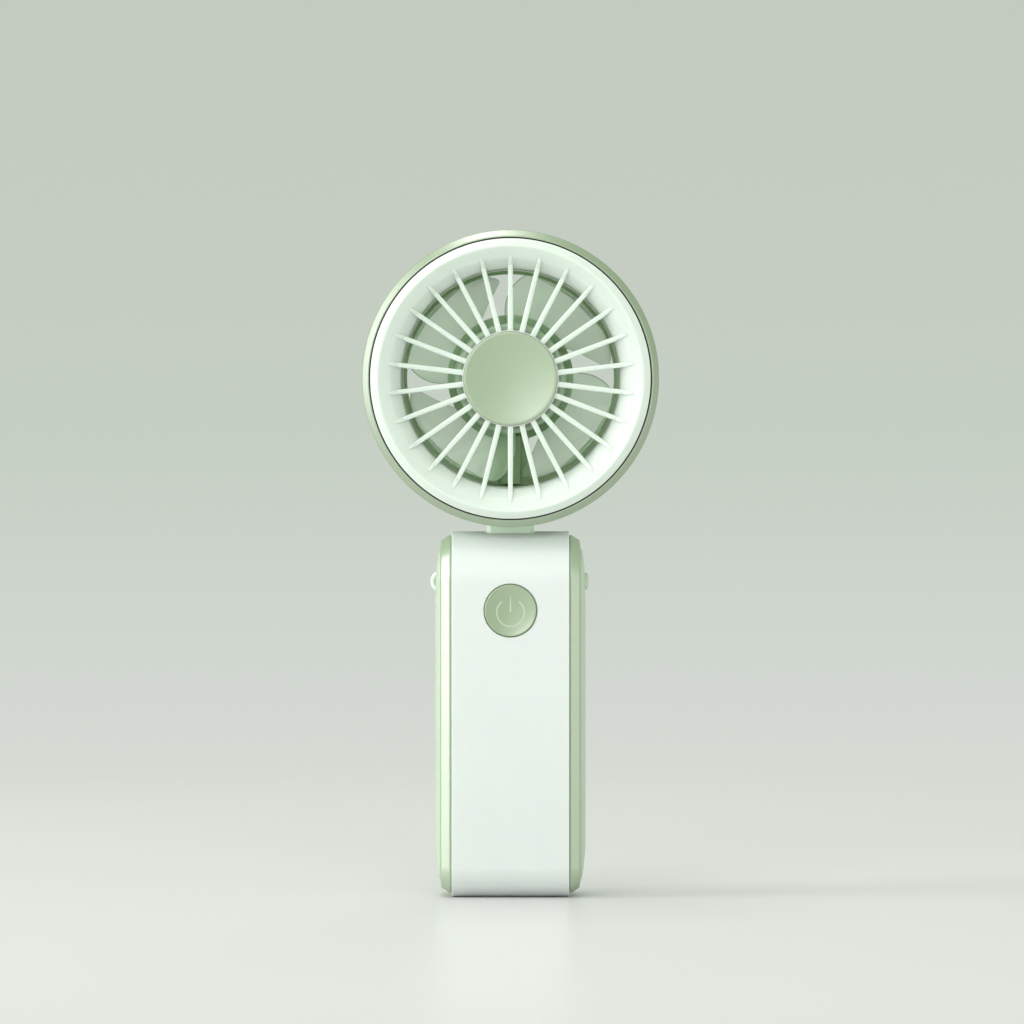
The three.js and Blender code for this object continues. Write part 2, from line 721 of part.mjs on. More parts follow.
// The stator has nine T-shaped teeth around a round core.
function motorStator() {
  const teeth = 9;
  const pitch = (2 * Math.PI) / teeth;
  const outline = [];
  for (let i = 0; i < teeth; i += 1) {
    const profile = [
      [6, -0.3],
      [8.9, -0.14],
      [8.9, -0.42],
      [STATOR_RADIUS, -0.42],
      [STATOR_RADIUS, 0],
      [STATOR_RADIUS, 0.42],
      [8.9, 0.42],
      [8.9, 0.14],
      [6, 0.3],
    ];
    profile.forEach(([radius, share]) => {
      const angle = (i + share) * pitch;
      outline.push(new THREE.Vector2(radius * Math.cos(angle), radius * Math.sin(angle)));
    });
  }
  const shape = new THREE.Shape(outline);
  const bore = new THREE.Path();
  bore.absarc(0, 0, 3.7, 0, 2 * Math.PI, true);
  shape.holes.push(bore);
  const core = new THREE.ExtrudeGeometry(shape, { depth: 6.4, bevelEnabled: false, curveSegments: 12 });
  return core.rotateX(Math.PI / 2).translate(0, 3.6, HEAD_Z);
}

// A plain tube around the head's axis.
function tube(inner, outer, from, to) {
  return ring([[inner, from], [outer, from], [outer, to], [inner, to]], HEAD_Z, 24);
}

const rotorCan = () => tube(CAN_RADIUS - 0.75, CAN_RADIUS, -5.6, 4.8);

const rotorMagnet = () => tube(MAGNET_RADIUS - 1.1, MAGNET_RADIUS, -4.2, 4.4);

const motorShaft = () => barY(SHAFT_RADIUS, -6.8, PLATE_Y - 0.2, 0, HEAD_Z, 16);

const bearing = (from, to) => tube(SHAFT_RADIUS + 0.03, BEARING_RADIUS, from, to);

// A hub cup, open at the back over the motor, with wide swept blades.
function impeller() {
  const hub = turned([
    [0, -7.8],
    [13.2, -7.8],
    [HUB_RADIUS, -6.6],
    [HUB_RADIUS, 5.2],
    [12.9, 5.2],
    [12.9, -6],
    [3, -6],
    [3, -4.2],
    [SHAFT_RADIUS + 0.03, -4.2],
    [SHAFT_RADIUS + 0.03, -6.9],
    [0, -6.9],
  ], HEAD_Z, 28);
  const blades = Array.from({ length: BLADE_COUNT }, (_, i) => solid(blade((i * 360) / BLADE_COUNT)));
  return geometryOf(join([solid(hub), ...blades]));
}

// A blade's two edges as angles, from 0 at the hub to 1 at the tip.
const trailingAngle = (share) => 95.5 - 13.5 * share ** 2.6;
const leadingAngle = (share) => 5 + 33 * (1 - share) ** 1.6 + 8 * Math.max(0, (share - 0.85) / 0.15) ** 2;

function blade(turn) {
  const [across, along] = [4, 6];
  const [low, high] = [HUB_RADIUS - 0.8, IMPELLER_RADIUS];
  const [rear, front] = [3.9, -4.9];
  const points = [];
  for (const side of [-1, 1]) {
    for (let i = 0; i <= across; i += 1) {
      const share = i / across;
      const radius = low + (high - low) * share;
      for (let j = 0; j <= along; j += 1) {
        const chord = j / along;
        const [lead, trail] = [leadingAngle(share), trailingAngle(share)];
        const [x, z] = onHead(radius, turn + lead + (trail - lead) * chord);
        const y = rear + (front - rear) * chord + (side * BLADE_THICKNESS) / 2;
        points.push([x, y, z]);
      }
    }
  }
  const geometry = new THREE.BufferGeometry();
  geometry.setAttribute('position', new THREE.Float32BufferAttribute(points.flat(), 3));
  geometry.setIndex(slabFaces(across + 1, along + 1));
  return geometry;
}

// Faces of a closed slab: two grids of points and the strip that joins their borders.
function slabFaces(rows, columns) {
  const faces = [];
  const size = rows * columns;
  const at = (i, j) => i * columns + j;
  const quad = (a, b, c, d) => faces.push(a, b, c, a, c, d);
  for (let i = 0; i + 1 < rows; i += 1) {
    for (let j = 0; j + 1 < columns; j += 1) {
      const [a, b, c, d] = [at(i, j), at(i, j + 1), at(i + 1, j + 1), at(i + 1, j)];
      quad(a, b, c, d);
      quad(d + size, c + size, b + size, a + size);
    }
  }
  const border = [];
  for (let j = 0; j < columns - 1; j += 1) border.push(at(0, j));
  for (let i = 0; i < rows - 1; i += 1) border.push(at(i, columns - 1));
  for (let j = columns - 1; j > 0; j -= 1) border.push(at(rows - 1, j));
  for (let i = rows - 1; i > 0; i -= 1) border.push(at(i, 0));
  border.forEach((a, k) => {
    const b = border[(k + 1) % border.length];
    quad(b, a, a + size, b + size);
  });
  return faces;
}

// ---------------------------------------------------------------- screws

// A pan-head screw along Y, its head towards +Y.
function screwY(x, z, headFrom, length) {
  const shank = barY(SCREW_RADIUS, headFrom - length, headFrom + 0.1, x, z, 8);
  const head = barY(SCREW_HEAD, headFrom, headFrom + SCREW_HEAD_HEIGHT, x, z, 14);
  return geometryOf(solid(shank).add(solid(head)));
}

// A pan-head screw along X, its head outwards.
function screwX(side, y, z) {
  const seat = SIDE_X + 1.32;
  const along = (radius, from, to, steps) => {
    return solid(barX(radius, side > 0 ? from : -to, side > 0 ? to : -from, y, z, steps));
  };
  const head = along(SCREW_HEAD, seat, seat + SCREW_HEAD_HEIGHT, 14);
  return geometryOf(along(SCREW_RADIUS, 10.5, seat + 0.1, 8).add(head));
}

// ---------------------------------------------------------------- assembly

const fan = new THREE.Group();

function addPart(name, geometry, finish) {
  const mesh = new THREE.Mesh(closed(geometry), new THREE.MeshStandardMaterial(finish));
  mesh.name = name;
  fan.add(mesh);
}

addPart('handle_band', handleBand(), FINISH.paleMint);
addPart('chassis', chassis(), FINISH.innerGreen);
addPart('battery_cell', batteryCell(), FINISH.cellBlue);
addPart('control_board', controlBoard(), FINISH.boardGreen);
addPart('tact_switch', tactSwitch(), FINISH.black);
addPart('switch_plunger', switchPlunger(), FINISH.black);
addPart('power_button', powerButton(), FINISH.satinMint);
addPart('charging_board', chargingBoard(), FINISH.boardGreen);
addPart('charging_port', chargingPort(), FINISH.steel);
addPart('battery_lead_red', batteryLead(1), FINISH.wireRed);
addPart('battery_lead_black', batteryLead(-1), FINISH.wireBlack);

for (const [name, side] of [['right', 1], ['left', -1]]) {
  addPart(`side_frame_${name}`, sideFrame(side), FINISH.metallicMint);
  addPart(`side_panel_${name}`, sidePanel(side), FINISH.satinMint);
  addPart(`hinge_washer_${name}`, frictionWasher(side), FINISH.steel);
  for (const [place, [y, z]] of Object.entries(SIDE_SCREWS)) {
    addPart(`side_screw_${name}_${place}`, screwX(side, y, z), FINISH.steel);
  }
}

addPart('lanyard_loop', lanyardLoop(), FINISH.grilleWhite);
addPart('hinge_cap', hingeCap(), FINISH.satinMint);

addPart('pivot_pin', pivotPin(), FINISH.steel);
addPart('neck_arm', neckArm(), FINISH.neckMint);
addPart('motor_bracket', motorBracket(), FINISH.shadedMint);
addPart('wire_cover', wireCover(), FINISH.shadedMint);
addPart('motor_lead_red', wire(leadRoute(0.5), 0.42, 16), FINISH.wireRed);
addPart('motor_lead_black', wire(leadRoute(-0.5), 0.42, 16), FINISH.wireBlack);
addPart('rear_shell', rearShell(), FINISH.satinMint);
addPart('front_grille', frontGrille(), FINISH.grilleWhite);
addPart('centre_cap', centreCap(), FINISH.satinMint);
addPart('bezel_gasket', bezelGasket(), FINISH.black);
addPart('rear_grille', rearGrille(), FINISH.shadedMint);

addPart('motor_base', motorBase(), FINISH.brass);
addPart('motor_stator', motorStator(), FINISH.copper);
addPart('rotor_can', rotorCan(), FINISH.steel);
addPart('rotor_magnet', rotorMagnet(), FINISH.black);
addPart('motor_shaft', motorShaft(), FINISH.steel);
addPart('bearing_front', bearing(-3.3, -1.1), FINISH.steel);
addPart('bearing_rear', bearing(3.6, 5.7), FINISH.steel);
addPart('impeller', impeller(), FINISH.bladeMint);

BOSS_ANGLES.forEach((angle, i) => {
  const [shellX, shellZ] = onHead(BOSS_CIRCLE, angle);
  const [motorX, motorZ] = onHead(MOTOR_SCREW_CIRCLE, angle);
  addPart(`shell_screw_${i + 1}`, screwY(shellX, shellZ, REAR_Y - 1.08, 7), FINISH.steel);
  addPart(`motor_screw_${i + 1}`, screwY(motorX, motorZ, PLATE_Y + 1.52, 2.9), FINISH.steel);
});

export default fan;
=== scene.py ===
import math

import bmesh
import bpy
from mathutils import Matrix, Vector


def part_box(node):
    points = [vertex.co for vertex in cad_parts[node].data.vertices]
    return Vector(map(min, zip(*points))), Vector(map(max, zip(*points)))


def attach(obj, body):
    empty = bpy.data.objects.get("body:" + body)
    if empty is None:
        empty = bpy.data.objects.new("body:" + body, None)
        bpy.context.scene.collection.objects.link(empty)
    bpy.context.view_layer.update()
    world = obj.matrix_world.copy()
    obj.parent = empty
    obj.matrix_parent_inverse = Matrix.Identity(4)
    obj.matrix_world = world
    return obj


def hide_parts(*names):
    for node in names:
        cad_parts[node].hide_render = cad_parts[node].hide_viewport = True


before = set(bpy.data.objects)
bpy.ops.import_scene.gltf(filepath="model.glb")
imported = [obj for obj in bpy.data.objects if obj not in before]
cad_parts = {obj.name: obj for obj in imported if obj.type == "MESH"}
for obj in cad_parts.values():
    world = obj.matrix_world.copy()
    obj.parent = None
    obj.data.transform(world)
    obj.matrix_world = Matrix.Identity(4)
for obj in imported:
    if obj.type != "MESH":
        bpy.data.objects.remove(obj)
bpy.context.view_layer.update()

# Lengths are in millimetres and become metres when a mesh is made.
MM = 0.001


def node_box(node):
    """A node's lowest and highest corners in millimetres."""
    low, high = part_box(node)
    return low / MM, high / MM


# ---------------------------------------------------------------- sizes from the frame

_, band_high = node_box("handle_band")
shell_low, shell_high = node_box("rear_shell")
grille_low, grille_high = node_box("front_grille")
button_low, button_high = node_box("power_button")
pin_low, pin_high = node_box("pivot_pin")
port_low, port_high = node_box("charging_port")

# Handle: X is across it, Y runs from front to back and Z up from the base.
HANDLE_TOP = band_high.z
HALF_DEPTH = band_high.y
SIDE_X = band_high.x
BASE_CORNER = 8.0
BAND_WALL = 1.8
BAND_FILLET = 0.2
COVER_EDGE = 3.3
CROWN_RISE = 1.0
DIMPLE_X = SIDE_X + COVER_EDGE + 0.15
BUTTON_FLANGE = 0.9
BUTTON_RADIUS = button_high.x - BUTTON_FLANGE
BUTTON_Z = (button_low.z + button_high.z) / 2
MARK_RADIUS = 3.55
MARK_LINE = 0.38
PORT_Z = (port_low.z + port_high.z) / 2
PORT_MOUTH = (10, 4.2)
PORT_SHELL = (9, 3.2)
PORT_HOLLOW = (8.4, 2.6)

# Hinge and neck: the neck's drum turns about X at FOLD_Z.
FOLD_Z = (pin_low.z + pin_high.z) / 2
DRUM_RADIUS = 7.5
PIN_RADIUS = 2.0
NECK_HALF = 6.15
NECK_THICK = 2.9
NECK_TOP = 104.5
LEAD_CHANNEL = 1.35

# Head: everything in it is turned about the Y axis at HEAD_Z.
HEAD_Z = (shell_low.z + shell_high.z) / 2
SHELL_RADIUS = shell_high.x
SHELL_FRONT = shell_low.y
SHELL_WALL = 1.5
REAR_Y = shell_high.y
DUCT_RADIUS = 28.1
DUCT_OUTER = 29.4
BEZEL_RADIUS = grille_high.x
BEZEL_FRONT = grille_low.y
CAP_RADIUS = 12.08
SPOKES = 26
SPOKE_PITCH = 360 / SPOKES
SPOKE_IN = 12.25
SPOKE_BEND = 29.3
SPOKE_OUT = 31.9
PLATE_Y = 6.0
PLATE_BACK = 8.4
PLATE_RADIUS = 16.4
STRUT_BACK = 9.2
SCREW_ANGLES = (90, 210, 330)
CASE_SCREW_CIRCLE = 31.9
MOTOR_SCREW_CIRCLE = 7.3

# Fan wheel
BLADES = 4
HUB_RADIUS = 14.3
TIP_RADIUS = 27.0
BLADE_ROOT = HUB_RADIUS - 0.8

# Facets round the head's widest pieces and round its smaller ones
RING_STEPS = 208
HUB_STEPS = 104

# ---------------------------------------------------------------- outlines


def arc(centre, radius, start, end, steps):
    """Points along an arc, angles in degrees."""
    points = []
    for i in range(steps + 1):
        angle = math.radians(start + (end - start) * i / steps)
        points.append((centre[0] + radius * math.cos(angle), centre[1] + radius * math.sin(angle)))
    return points


def rounded(corners, closed=True, step=9):
    """Turns corners (a, b, fillet radius) into points, with an arc where there is a radius.

    Each arc is cut into steps of at most the given number of degrees.
    """
    points = []
    count = len(corners)
    for i, corner in enumerate(corners):
        here = Vector(corner[:2])
        radius = corner[2] if len(corner) > 2 else 0
        if not radius or (not closed and i in (0, count - 1)):
            points.append(tuple(here))
            continue
        before = (Vector(corners[i - 1][:2]) - here).normalized()
        after = (Vector(corners[(i + 1) % count][:2]) - here).normalized()
        angle = before.angle(after)
        centre = here + (before + after).normalized() * radius / math.sin(angle / 2)
        start = here + before * radius / math.tan(angle / 2) - centre
        sweep = math.pi - angle
        steps = max(2, math.ceil(math.degrees(sweep) / step))
        turn = math.copysign(1, start.cross(-before))
        first = math.atan2(start.y, start.x)
        for k in range(steps + 1):
            a = first + turn * sweep * k / steps
            points.append((centre.x + radius * math.cos(a), centre.y + radius * math.sin(a)))
    return points


def handle_outline(half, corner, floor, corner_steps=12, top_steps=56):
    """The handle's side outline in (y, z): flat base, two round corners and a half-round top."""
    return (
        arc((corner - half, floor + corner), corner, 180, 270, corner_steps)
        + arc((half - corner, floor + corner), corner, 270, 360, corner_steps)
        + arc((0, FOLD_Z), half, 0, 180, top_steps)
    )


def inset_outline(inset):
    """The handle's side outline, moved inwards."""
    corner = max(BASE_CORNER - inset, 0.5)
    return handle_outline(HALF_DEPTH - inset, corner, inset)


def on_head(radius, degrees):
    """The (x, z) of a point at a radius and an angle round the head's axis."""
    angle = math.radians(degrees)
    return radius * math.cos(angle), HEAD_Z + radius * math.sin(angle)


# ---------------------------------------------------------------- mesh helpers


def bmesh_of(points, faces):
    """A mesh of points and faces, with its normals outwards."""
    bm = bmesh.new()
    verts = [bm.verts.new(p) for p in points]
    for face in faces:
        bm.faces.new([verts[i] for i in face])
    bmesh.ops.remove_doubles(bm, verts=bm.verts, dist=1e-5)
    bmesh.ops.recalc_face_normals(bm, faces=bm.faces)
    return bm


def skin(rings, looped=False):
    """A closed skin through rings that share their number of points."""
    count = len(rings[0])
    points = [p for ring in rings for p in ring]
    faces = []
    last = len(rings) if looped else len(rings) - 1
    for i in range(last):
        near, far = i * count, ((i + 1) % len(rings)) * count
        for j in range(count):
            k = (j + 1) % count
            faces.append((near + j, near + k, far + k, far + j))
    if not looped:
        faces.append(tuple(range(count)))
        faces.append(tuple(range(len(points) - count, len(points))))
    return bmesh_of(points, faces)


def lathe(outline, steps=HUB_STEPS, closed=True, centre_z=None):
    """Turns (radius, y) points round the head's axis. Open outlines start and end on the axis."""
    z0 = HEAD_Z if centre_z is None else centre_z
    bm = bmesh.new()
    columns = []
    poles = {}
    for i, (radius, y) in enumerate(outline):
        if radius < 1e-6:
            poles[i] = bm.verts.new((0, y, z0))
    for s in range(steps):
        angle = 2 * math.pi * s / steps
        column = []
        for i, (radius, y) in enumerate(outline):
            place = (radius * math.sin(angle), y, z0 + radius * math.cos(angle))
            column.append(poles[i] if i in poles else bm.verts.new(place))
        columns.append(column)
    last = len(outline) if closed else len(outline) - 1
    for s in range(steps):
        here, there = columns[s], columns[(s + 1) % steps]
        for i in range(last):
            k = (i + 1) % len(outline)
            corners = [here[i], here[k], there[k], there[i]]
            unique = list(dict.fromkeys(corners))
            if len(unique) > 2:
                bm.faces.new(unique)
    bmesh.ops.recalc_face_normals(bm, faces=bm.faces)
    return bm


def prism(outline, low, high, along="X", bevel=0.0, segments=3):
    """A straight piece whose flat outline is (y, z) along X, (x, z) along Y and (x, y) along Z."""
    place = {
        "X": lambda a, b, depth: (depth, a, b),
        "Y": lambda a, b, depth: (a, depth, b),
        "Z": lambda a, b, depth: (a, b, depth),
    }[along]
    bm = skin([[place(a, b, depth) for a, b in outline] for depth in (low, high)])
    if bevel:
        sharp = [e for e in bm.edges if e.calc_face_angle(0) > math.radians(35)]
        bmesh.ops.bevel(
            bm, geom=sharp, offset=bevel, segments=segments, profile=0.5, affect="EDGES"
        )
    return bm


def box_outline(low, high):
    """A rectangle from two opposite corners."""
    return [(low[0], low[1]), (high[0], low[1]), (high[0], high[1]), (low[0], high[1])]


def bar(along, radius, low, high, centre, steps, bevel=0.0):
    """A round bar along X or Y, whose centre is (y, z) or (x, z)."""
    circle = arc(centre, radius, 0, 360 - 360 / steps, steps - 1)
    return prism(circle, low, high, along, bevel, 2)


def tube(path, radius, sides=16):
    """A round wire along a list of points, closed by flat ends."""
    points = [Vector(p) for p in path]
    rings = []
    normal = None
    for i, here in enumerate(points):
        ahead = points[min(i + 1, len(points) - 1)] - points[max(i - 1, 0)]
        ahead.normalize()
        if normal is None:
            normal = ahead.orthogonal().normalized()
        normal = (normal - ahead * normal.dot(ahead)).normalized()
        side = ahead.cross(normal)
        ring = []
        for k in range(sides):
            angle = 2 * math.pi * k / sides
            ring.append(here + radius * (math.cos(angle) * normal + math.sin(angle) * side))
        rings.append(ring)
    return skin(rings)


def merged(*meshes):
    """Puts several separate meshes into one."""
    whole = bmesh.new()
    for bm in meshes:
        data = bpy.data.meshes.new("part")
        bm.to_mesh(data)
        whole.from_mesh(data)
        bpy.data.meshes.remove(data)
    return whole


def boolean(base, tool, operation):
    """Joins or cuts two meshes exactly."""
    pair = []
    for bm in (base, tool):
        data = bpy.data.meshes.new("operand")
        bm.to_mesh(data)
        holder = bpy.data.objects.new("operand", data)
        bpy.context.scene.collection.objects.link(holder)
        pair.append(holder)
    modifier = pair[0].modifiers.new("boolean", "BOOLEAN")
    modifier.operation = operation
    modifier.solver = "EXACT"
    modifier.object = pair[1]
    view = bpy.context.evaluated_depsgraph_get()
    result = bmesh.new()
    result.from_mesh(pair[0].evaluated_get(view).to_mesh())
    for holder in pair:
        bpy.data.objects.remove(holder)
    return result


def cut(base, *tools):
    """Cuts tools that don't touch one another out of a mesh."""
    return boolean(base, merged(*tools), "DIFFERENCE")


def join(base, *tools):
    """Joins tools to a mesh one after another."""
    for tool in tools:
        base = boolean(base, tool, "UNION")
    return base


def mirror_x(bm):
    """A copy of a right-hand mesh for the left side."""
    copy = bm.copy()
    bmesh.ops.scale(copy, vec=(-1, 1, 1), verts=copy.verts)
    bmesh.ops.reverse_faces(copy, faces=copy.faces)
    return copy


def smooth(data):
    """Smooth shading that keeps edges of more than 30 degrees crisp."""
    data.shade_smooth()
    data.set_sharp_from_angle(angle=math.radians(30))


def piece(name, bm, finish, body, nodes):
    """Makes an object of a mesh in millimetres and ties it to its body, CAD nodes and finish."""
    bmesh.ops.remove_doubles(bm, verts=bm.verts, dist=1e-4)
    bmesh.ops.dissolve_degenerate(bm, edges=bm.edges, dist=1e-4)
    data = bpy.data.meshes.new(name)
    bm.to_mesh(data)
    data.transform(Matrix.Scale(MM, 4))
    smooth(data)
    data.materials.append(MATERIALS[finish])
    made = bpy.data.objects.new(name, data)
    bpy.context.scene.collection.objects.link(made)
    weighted = made.modifiers.new("weighted_normals", "WEIGHTED_NORMAL")
    weighted.keep_sharp = True
    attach(made, body)
    if nodes:
        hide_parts(*nodes)


# ---------------------------------------------------------------- materials


def linear(red, green, blue):
    """sRGB values from 0 to 255 as linear light."""
    def channel(value):
        share = value / 255
        return share / 12.92 if share <= 0.04045 else ((share + 0.055) / 1.055) ** 2.4

    return channel(red), channel(green), channel(blue), 1.0


def new_material(name):
    """A material with its nodes, links and shader."""
    material = bpy.data.materials.new(name)
    material.use_nodes = True
    nodes = material.node_tree.nodes
    return material, nodes, material.node_tree.links, nodes["Principled BSDF"]


def noise(nodes, links, scale, detail, source):
    """A noise field; scale is how many of its periods fit in a metre."""
    texture = nodes.new("ShaderNodeTexNoise")
    texture.inputs["Scale"].default_value = scale
    texture.inputs["Detail"].default_value = detail
    links.new(source, texture.inputs["Vector"])
    return texture.outputs["Fac"]


def spread(nodes, links, value, low, high):
    """Maps a noise's middle range onto low to high."""
    ranged = nodes.new("ShaderNodeMapRange")
    ranged.inputs["From Min"].default_value = 0.3
    ranged.inputs["From Max"].default_value = 0.7
    ranged.inputs["To Min"].default_value = low
    ranged.inputs["To Max"].default_value = high
    links.new(value, ranged.inputs["Value"])
    return ranged.outputs["Result"]


def tinted(nodes, links, color, factor, darker, lighter):
    """A colour that drifts between a darker and a lighter shade of itself."""
    mix = nodes.new("ShaderNodeMix")
    mix.data_type = "RGBA"
    base = linear(*color)
    mix.inputs["A"].default_value = tuple(c * darker for c in base[:3]) + (1,)
    mix.inputs["B"].default_value = tuple(min(1, c * lighter) for c in base[:3]) + (1,)
    links.new(factor, mix.inputs["Factor"])
    return mix.outputs["Result"]


def add_polish(nodes, links, shader, cloud, roughness, change):
    """Roughness that wanders up and down by the given change."""
    ranged = spread(nodes, links, cloud, roughness - change, roughness + change)
    links.new(ranged, shader.inputs["Roughness"])


def add_grain(nodes, links, shader, place, size, depth):
    """A fine even texture, as an eroded mould leaves it; size and depth are in metres."""
    bump = nodes.new("ShaderNodeBump")
    bump.inputs["Strength"].default_value = 1.0
    bump.inputs["Distance"].default_value = depth
    links.new(noise(nodes, links, 1 / size, 2, place), bump.inputs["Height"])
    links.new(bump.outputs["Normal"], shader.inputs["Normal"])


def moulded(name, color, roughness, drift=0.02, softness=0.0):
    """Moulded plastic: faint flow marks in colour and polish, a fine grain, and light inside.

    drift is how far its colour wanders; softness is how much light passes under its surface.
    """
    material, nodes, links, shader = new_material(name)
    place = nodes.new("ShaderNodeTexCoord").outputs["Object"]
    cloud = spread(nodes, links, noise(nodes, links, 60, 3, place), 0, 1)
    links.new(tinted(nodes, links, color, cloud, 1 - drift, 1 + drift), shader.inputs["Base Color"])
    add_polish(nodes, links, shader, noise(nodes, links, 350, 2, place), roughness, 0.03)
    add_grain(nodes, links, shader, place, 0.00022, 0.0000015)
    shader.inputs["Subsurface Weight"].default_value = softness
    shader.inputs["Subsurface Radius"].default_value = (0.7, 1.0, 0.7)
    shader.inputs["Subsurface Scale"].default_value = 0.002
    return material


def pearl(name, color, roughness, ior):
    """Pearl lacquer: a coloured base under a bright satin layer with fine flakes."""
    material, nodes, links, shader = new_material(name)
    place = nodes.new("ShaderNodeTexCoord").outputs["Object"]
    flakes = spread(nodes, links, noise(nodes, links, 3200, 2, place), 0, 1)
    links.new(tinted(nodes, links, color, flakes, 0.96, 1.04), shader.inputs["Base Color"])
    add_polish(nodes, links, shader, noise(nodes, links, 90, 3, place), roughness, 0.03)
    add_grain(nodes, links, shader, place, 0.0003, 0.000001)
    shader.inputs["IOR"].default_value = ior
    return material


def turned_metal(name, color, roughness):
    """Bright metal with fine turning marks."""
    material, nodes, links, shader = new_material(name)
    place = nodes.new("ShaderNodeTexCoord").outputs["Object"]
    stretch = nodes.new("ShaderNodeMapping")
    stretch.inputs["Scale"].default_value = (1, 12, 1)
    links.new(place, stretch.inputs["Vector"])
    marks = noise(nodes, links, 900, 3, stretch.outputs["Vector"])
    add_polish(nodes, links, shader, marks, roughness, 0.07)
    shade = spread(nodes, links, marks, 0, 1)
    links.new(tinted(nodes, links, color, shade, 0.9, 1.0), shader.inputs["Base Color"])
    shader.inputs["Metallic"].default_value = 1.0
    return material


def blended(nodes, links, factor, first, second):
    """Mixes from a first socket to a second colour or number."""
    mix = nodes.new("ShaderNodeMix")
    mix.data_type = "FLOAT" if isinstance(second, float) else "RGBA"
    links.new(factor, mix.inputs["Factor"])
    links.new(first, mix.inputs["A"])
    mix.inputs["B"].default_value = second
    return mix.outputs["Result"]


def clear_mint(name, color, edge_shade_color, hub_color):
    """Thin clear plastic for the fan wheel: denser where it is seen edge-on, frosted at the hub,
    with a painted dark shade along the blades' trailing edges.
    """
    material, nodes, links, shader = new_material(name)
    place = nodes.new("ShaderNodeTexCoord").outputs["Object"]
    flow = spread(nodes, links, noise(nodes, links, 70, 3, place), 0, 1)
    hub = nodes.new("ShaderNodeMapRange")
    hub.inputs["From Min"].default_value = (HUB_RADIUS + 0.5) * MM
    hub.inputs["From Max"].default_value = (HUB_RADIUS + 0.1) * MM
    links.new(distance_from_axis(nodes, links, place), hub.inputs["Value"])
    # The rim attribute says where a dark colour and denser alpha paint the shade seen on the
    # edge-on trailing edges.
    rim = nodes.new("ShaderNodeAttribute")
    rim.attribute_name = "rim"
    edge_on = nodes.new("ShaderNodeLayerWeight")
    edge_on.inputs["Blend"].default_value = 0.35
    body = tinted(nodes, links, color, flow, 0.94, 1.04)
    with_hub = blended(nodes, links, hub.outputs["Result"], body, linear(*hub_color))
    with_edge_shade = blended(nodes, links, rim.outputs["Fac"], with_hub, linear(*edge_shade_color))
    links.new(with_edge_shade, shader.inputs["Base Color"])
    flat_on = spread(nodes, links, flow, 0.3, 0.36)
    thin = blended(nodes, links, edge_on.outputs["Facing"], flat_on, 0.75)
    at_hub = blended(nodes, links, hub.outputs["Result"], thin, 0.9)
    links.new(blended(nodes, links, rim.outputs["Fac"], at_hub, 0.85), shader.inputs["Alpha"])
    links.new(spread(nodes, links, flow, 0.14, 0.2), shader.inputs["Roughness"])
    return material


def distance_from_axis(nodes, links, place):
    """How far a point is from the head's axis, which runs along Y."""
    shift = nodes.new("ShaderNodeVectorMath")
    shift.operation = "SUBTRACT"
    shift.inputs[1].default_value = (0, 0, HEAD_Z * MM)
    links.new(place, shift.inputs[0])
    flat = nodes.new("ShaderNodeVectorMath")
    flat.operation = "MULTIPLY"
    flat.inputs[1].default_value = (1, 0, 1)
    links.new(shift.outputs["Vector"], flat.inputs[0])
    length = nodes.new("ShaderNodeVectorMath")
    length.operation = "LENGTH"
    links.new(flat.outputs["Vector"], length.inputs[0])
    return length.outputs["Value"]


def circuit(name):
    """Solder mask with faint copper tracks under it."""
    material, nodes, links, shader = new_material(name)
    place = nodes.new("ShaderNodeTexCoord").outputs["Object"]
    tracks = nodes.new("ShaderNodeTexBrick")
    tracks.inputs["Scale"].default_value = 420
    tracks.inputs["Mortar Size"].default_value = 0.03
    tracks.inputs["Color1"].default_value = linear(22, 92, 52)
    tracks.inputs["Color2"].default_value = linear(18, 80, 46)
    tracks.inputs["Mortar"].default_value = linear(60, 140, 80)
    links.new(place, tracks.inputs["Vector"])
    links.new(tracks.outputs["Color"], shader.inputs["Base Color"])
    shader.inputs["Roughness"].default_value = 0.4
    return material


